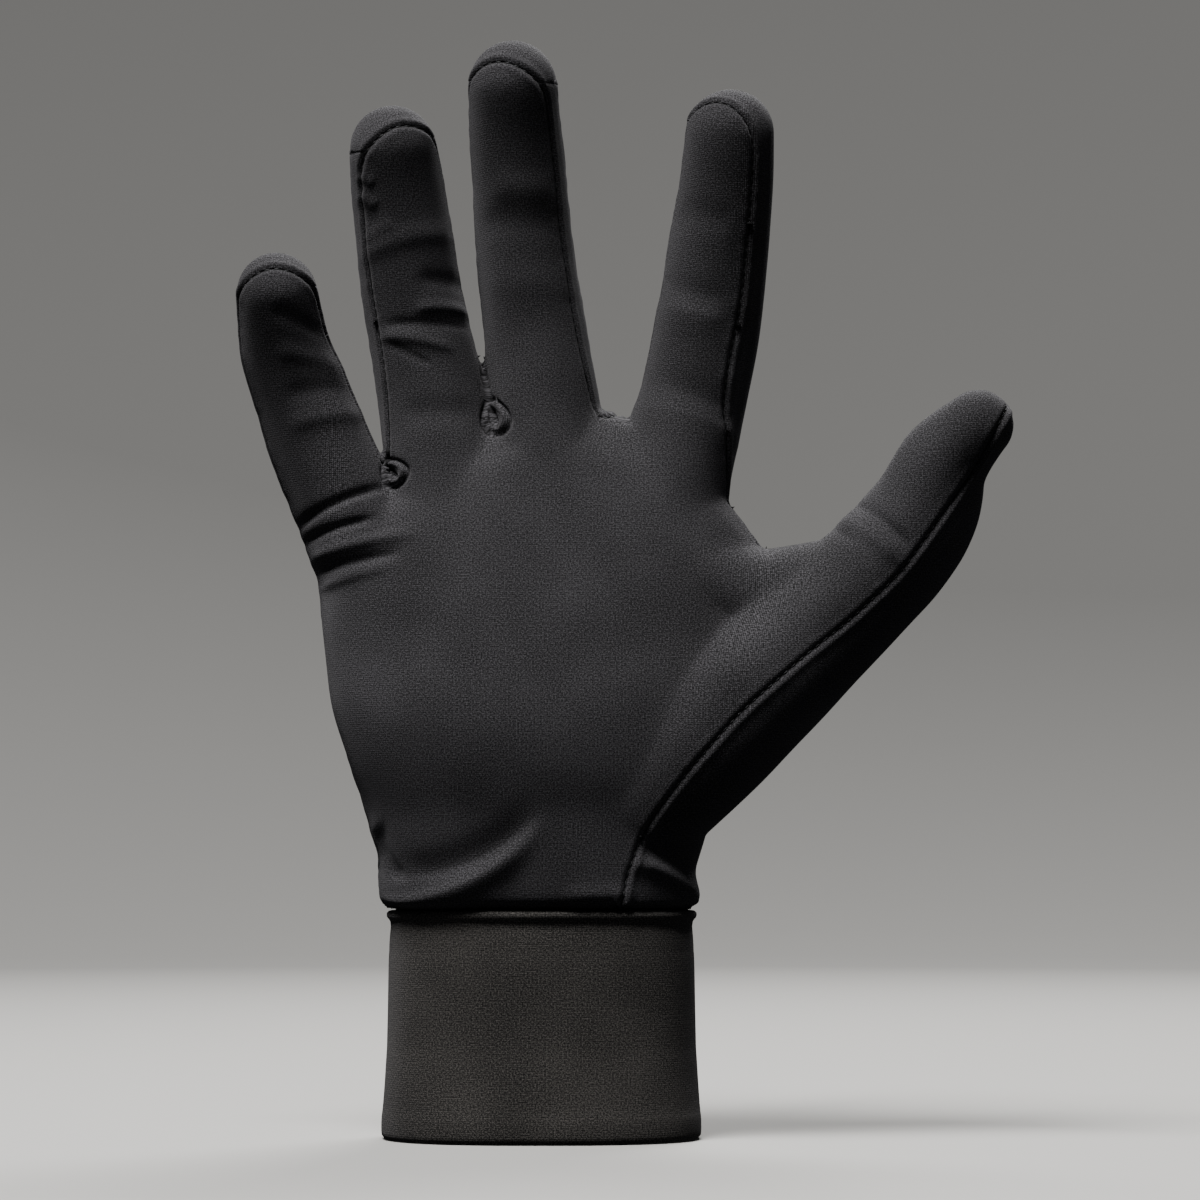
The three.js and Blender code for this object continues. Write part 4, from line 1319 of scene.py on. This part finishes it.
class LINER_OT_cuff(bpy.types.Operator):
    """Make the doubled cuff, folded at its hem."""

    bl_idname = "liner.cuff"
    bl_label = "Make cuff"

    def execute(self, context):
        sizes = context.scene.liner_sizes
        colours = context.scene.liner_colours
        edge = np.column_stack(section(turns(CUFF_SIDES))) * [CUFF_WIDTH / 2, CUFF_DEPTH / 2]
        tangent = np.roll(edge, -1, axis=0) - np.roll(edge, 1, axis=0)
        outward = unit(np.column_stack([tangent[:, 1], -tangent[:, 0]]))
        arc = lengths_along(edge)
        table = np.asarray(CUFF_PROFILE, float) * MM
        rows = smooth_rows(table, CUFF_STEP, table)
        rings, knit = [], []
        for z, out in rows:
            flare = np.interp(z / CUFF_HEIGHT, *zip(*CUFF_FLARE)) * HEM_FLARE
            places = np.column_stack([edge, np.full(CUFF_SIDES, z)])
            gather = CUFF_GATHER * bell((CUFF_HEIGHT - z) / CUFF_GATHER_REACH)
            slack = CUFF_SLACK * rough(places, SLACK_PITCH, 3)
            push = out + flare + slack + gather * rough(places * CUFF_GATHER_SHARES, PUCKER_PITCH, 4)
            ring = places.copy()
            ring[:, :2] += outward * push[:, None]
            rings.append(ring)
            knit.append(np.column_stack([arc, np.full(CUFF_SIDES, z)]))
        points, faces = loft(np.array(rings + [rings[0]])[::-1])
        piece = new_mesh("cuff_knit", points, faces)
        knit = np.vstack((knit + [knit[0]])[::-1])
        lay_knit(piece, knit, np.full(len(knit), SEAM_REACH))
        mesh = bmesh.new()
        mesh.from_mesh(piece.data)
        bmesh.ops.remove_doubles(mesh, verts=mesh.verts, dist=MERGE)
        mesh.to_mesh(piece.data)
        mesh.free()
        # The cuff's knit also has painted light on its stitches' tops and painted shade between them.
        knit = knit_material("Black doubled jersey", colours.cuff_dark, colours.cuff_light, sizes)
        dress(piece, knit, "cuff_knit", "cuff")
        return {"FINISHED"}


class LINER_OT_stage(bpy.types.Operator):
    """Make the pale floor, the soft lights and the camera."""

    bl_idname = "liner.stage"
    bl_label = "Make stage"

    def execute(self, context):
        scene = context.scene
        colours = scene.liner_colours
        # The floor and backdrop are board under matt emulsion paint, rolled on, so they are pale, even and
        # without a reflection.
        material, tree = new_material("Matt emulsion on board")
        shader = add_node(tree, "ShaderNodeBsdfPrincipled", {
            "Base Color": linear(colours.floor), "Roughness": 0.9})
        add_node(tree, "ShaderNodeOutputMaterial", {"Surface": shader})
        profile = [
            (FLOOR_RADIUS + BACKDROP_CURVE * math.sin(t), BACKDROP_CURVE * (1 - math.cos(t)))
            for t in np.linspace(0, math.pi / 2, BACKDROP_STEPS)
        ] + [(FLOOR_RADIUS + BACKDROP_CURVE, BACKDROP_HEIGHT)]
        turn = turns(BACKDROP_SIDES, 0)
        circle = np.column_stack([np.cos(turn), np.sin(turn), np.zeros(BACKDROP_SIDES)])
        rings = np.array([circle * radius + [0, 0, z] for radius, z in profile])
        floor = new_mesh("floor", *loft(rings, [0, 0, 0]))
        floor.data.materials.append(material)
        floor.data.polygons.foreach_set("use_smooth", np.ones(len(floor.data.polygons), bool))
        # The floor throws no light back, as black boards would see to in a studio, so the cloth's
        # undersides stay dark.
        floor.visible_diffuse = False
        floor.visible_glossy = False
        for name, place, size, power in LIGHTS:
            light = bpy.data.lights.new(name, "AREA")
            light.size = size
            light.energy = power
            lamp = bpy.data.objects.new(name, light)
            lamp.location = place
            lamp.rotation_euler = (LIGHT_AIM - Vector(place)).to_track_quat("-Z", "Y").to_euler()
            scene.collection.objects.link(lamp)
        world = bpy.data.worlds.new("Studio air")
        world.use_nodes = True
        world.node_tree.nodes.clear()
        air = add_node(world.node_tree, "ShaderNodeBackground", {
            "Color": linear("#e8ebf0"), "Strength": AIR_STRENGTH})
        add_node(world.node_tree, "ShaderNodeOutputWorld", {"Surface": air})
        scene.world = world
        camera = bpy.data.objects.new("camera", bpy.data.cameras.new("camera"))
        camera.data.sensor_width = SENSOR
        camera.data.lens = SENSOR * (FOCAL_PIXELS / PICTURE)
        camera.location = CAMERA_PLACE
        camera.rotation_euler = (math.pi / 2 + math.atan(HORIZON_PIXELS / FOCAL_PIXELS), 0, 0)
        scene.collection.objects.link(camera)
        scene.camera = camera
        return {"FINISHED"}


class LINER_PT_sidebar(bpy.types.Panel):
    """Sizes, colours and the steps in order."""

    bl_label = "Liner"
    bl_space_type = "VIEW_3D"
    bl_region_type = "UI"
    bl_category = "Liner"

    def draw(self, context):
        for group in (context.scene.liner_sizes, context.scene.liner_colours):
            for key in group.__annotations__:
                self.layout.prop(group, key)
        for operator in OPERATORS:
            self.layout.operator(operator.bl_idname)


OPERATORS = (LINER_OT_panels, LINER_OT_stitches, LINER_OT_cuff, LINER_OT_stage)
CLASSES = (LINER_PG_sizes, LINER_PG_colours, *OPERATORS, LINER_PT_sidebar)


def register():
    for item in CLASSES:
        bpy.utils.register_class(item)
    bpy.types.Scene.liner_sizes = PointerProperty(type=LINER_PG_sizes)
    bpy.types.Scene.liner_colours = PointerProperty(type=LINER_PG_colours)


def unregister():
    del bpy.types.Scene.liner_sizes
    del bpy.types.Scene.liner_colours
    for item in reversed(CLASSES):
        bpy.utils.unregister_class(item)


def main():
    register()
    bpy.ops.liner.panels()
    bpy.ops.liner.stitches()
    bpy.ops.liner.cuff()
    bpy.ops.liner.stage()


if __name__ == "__main__":
    main()
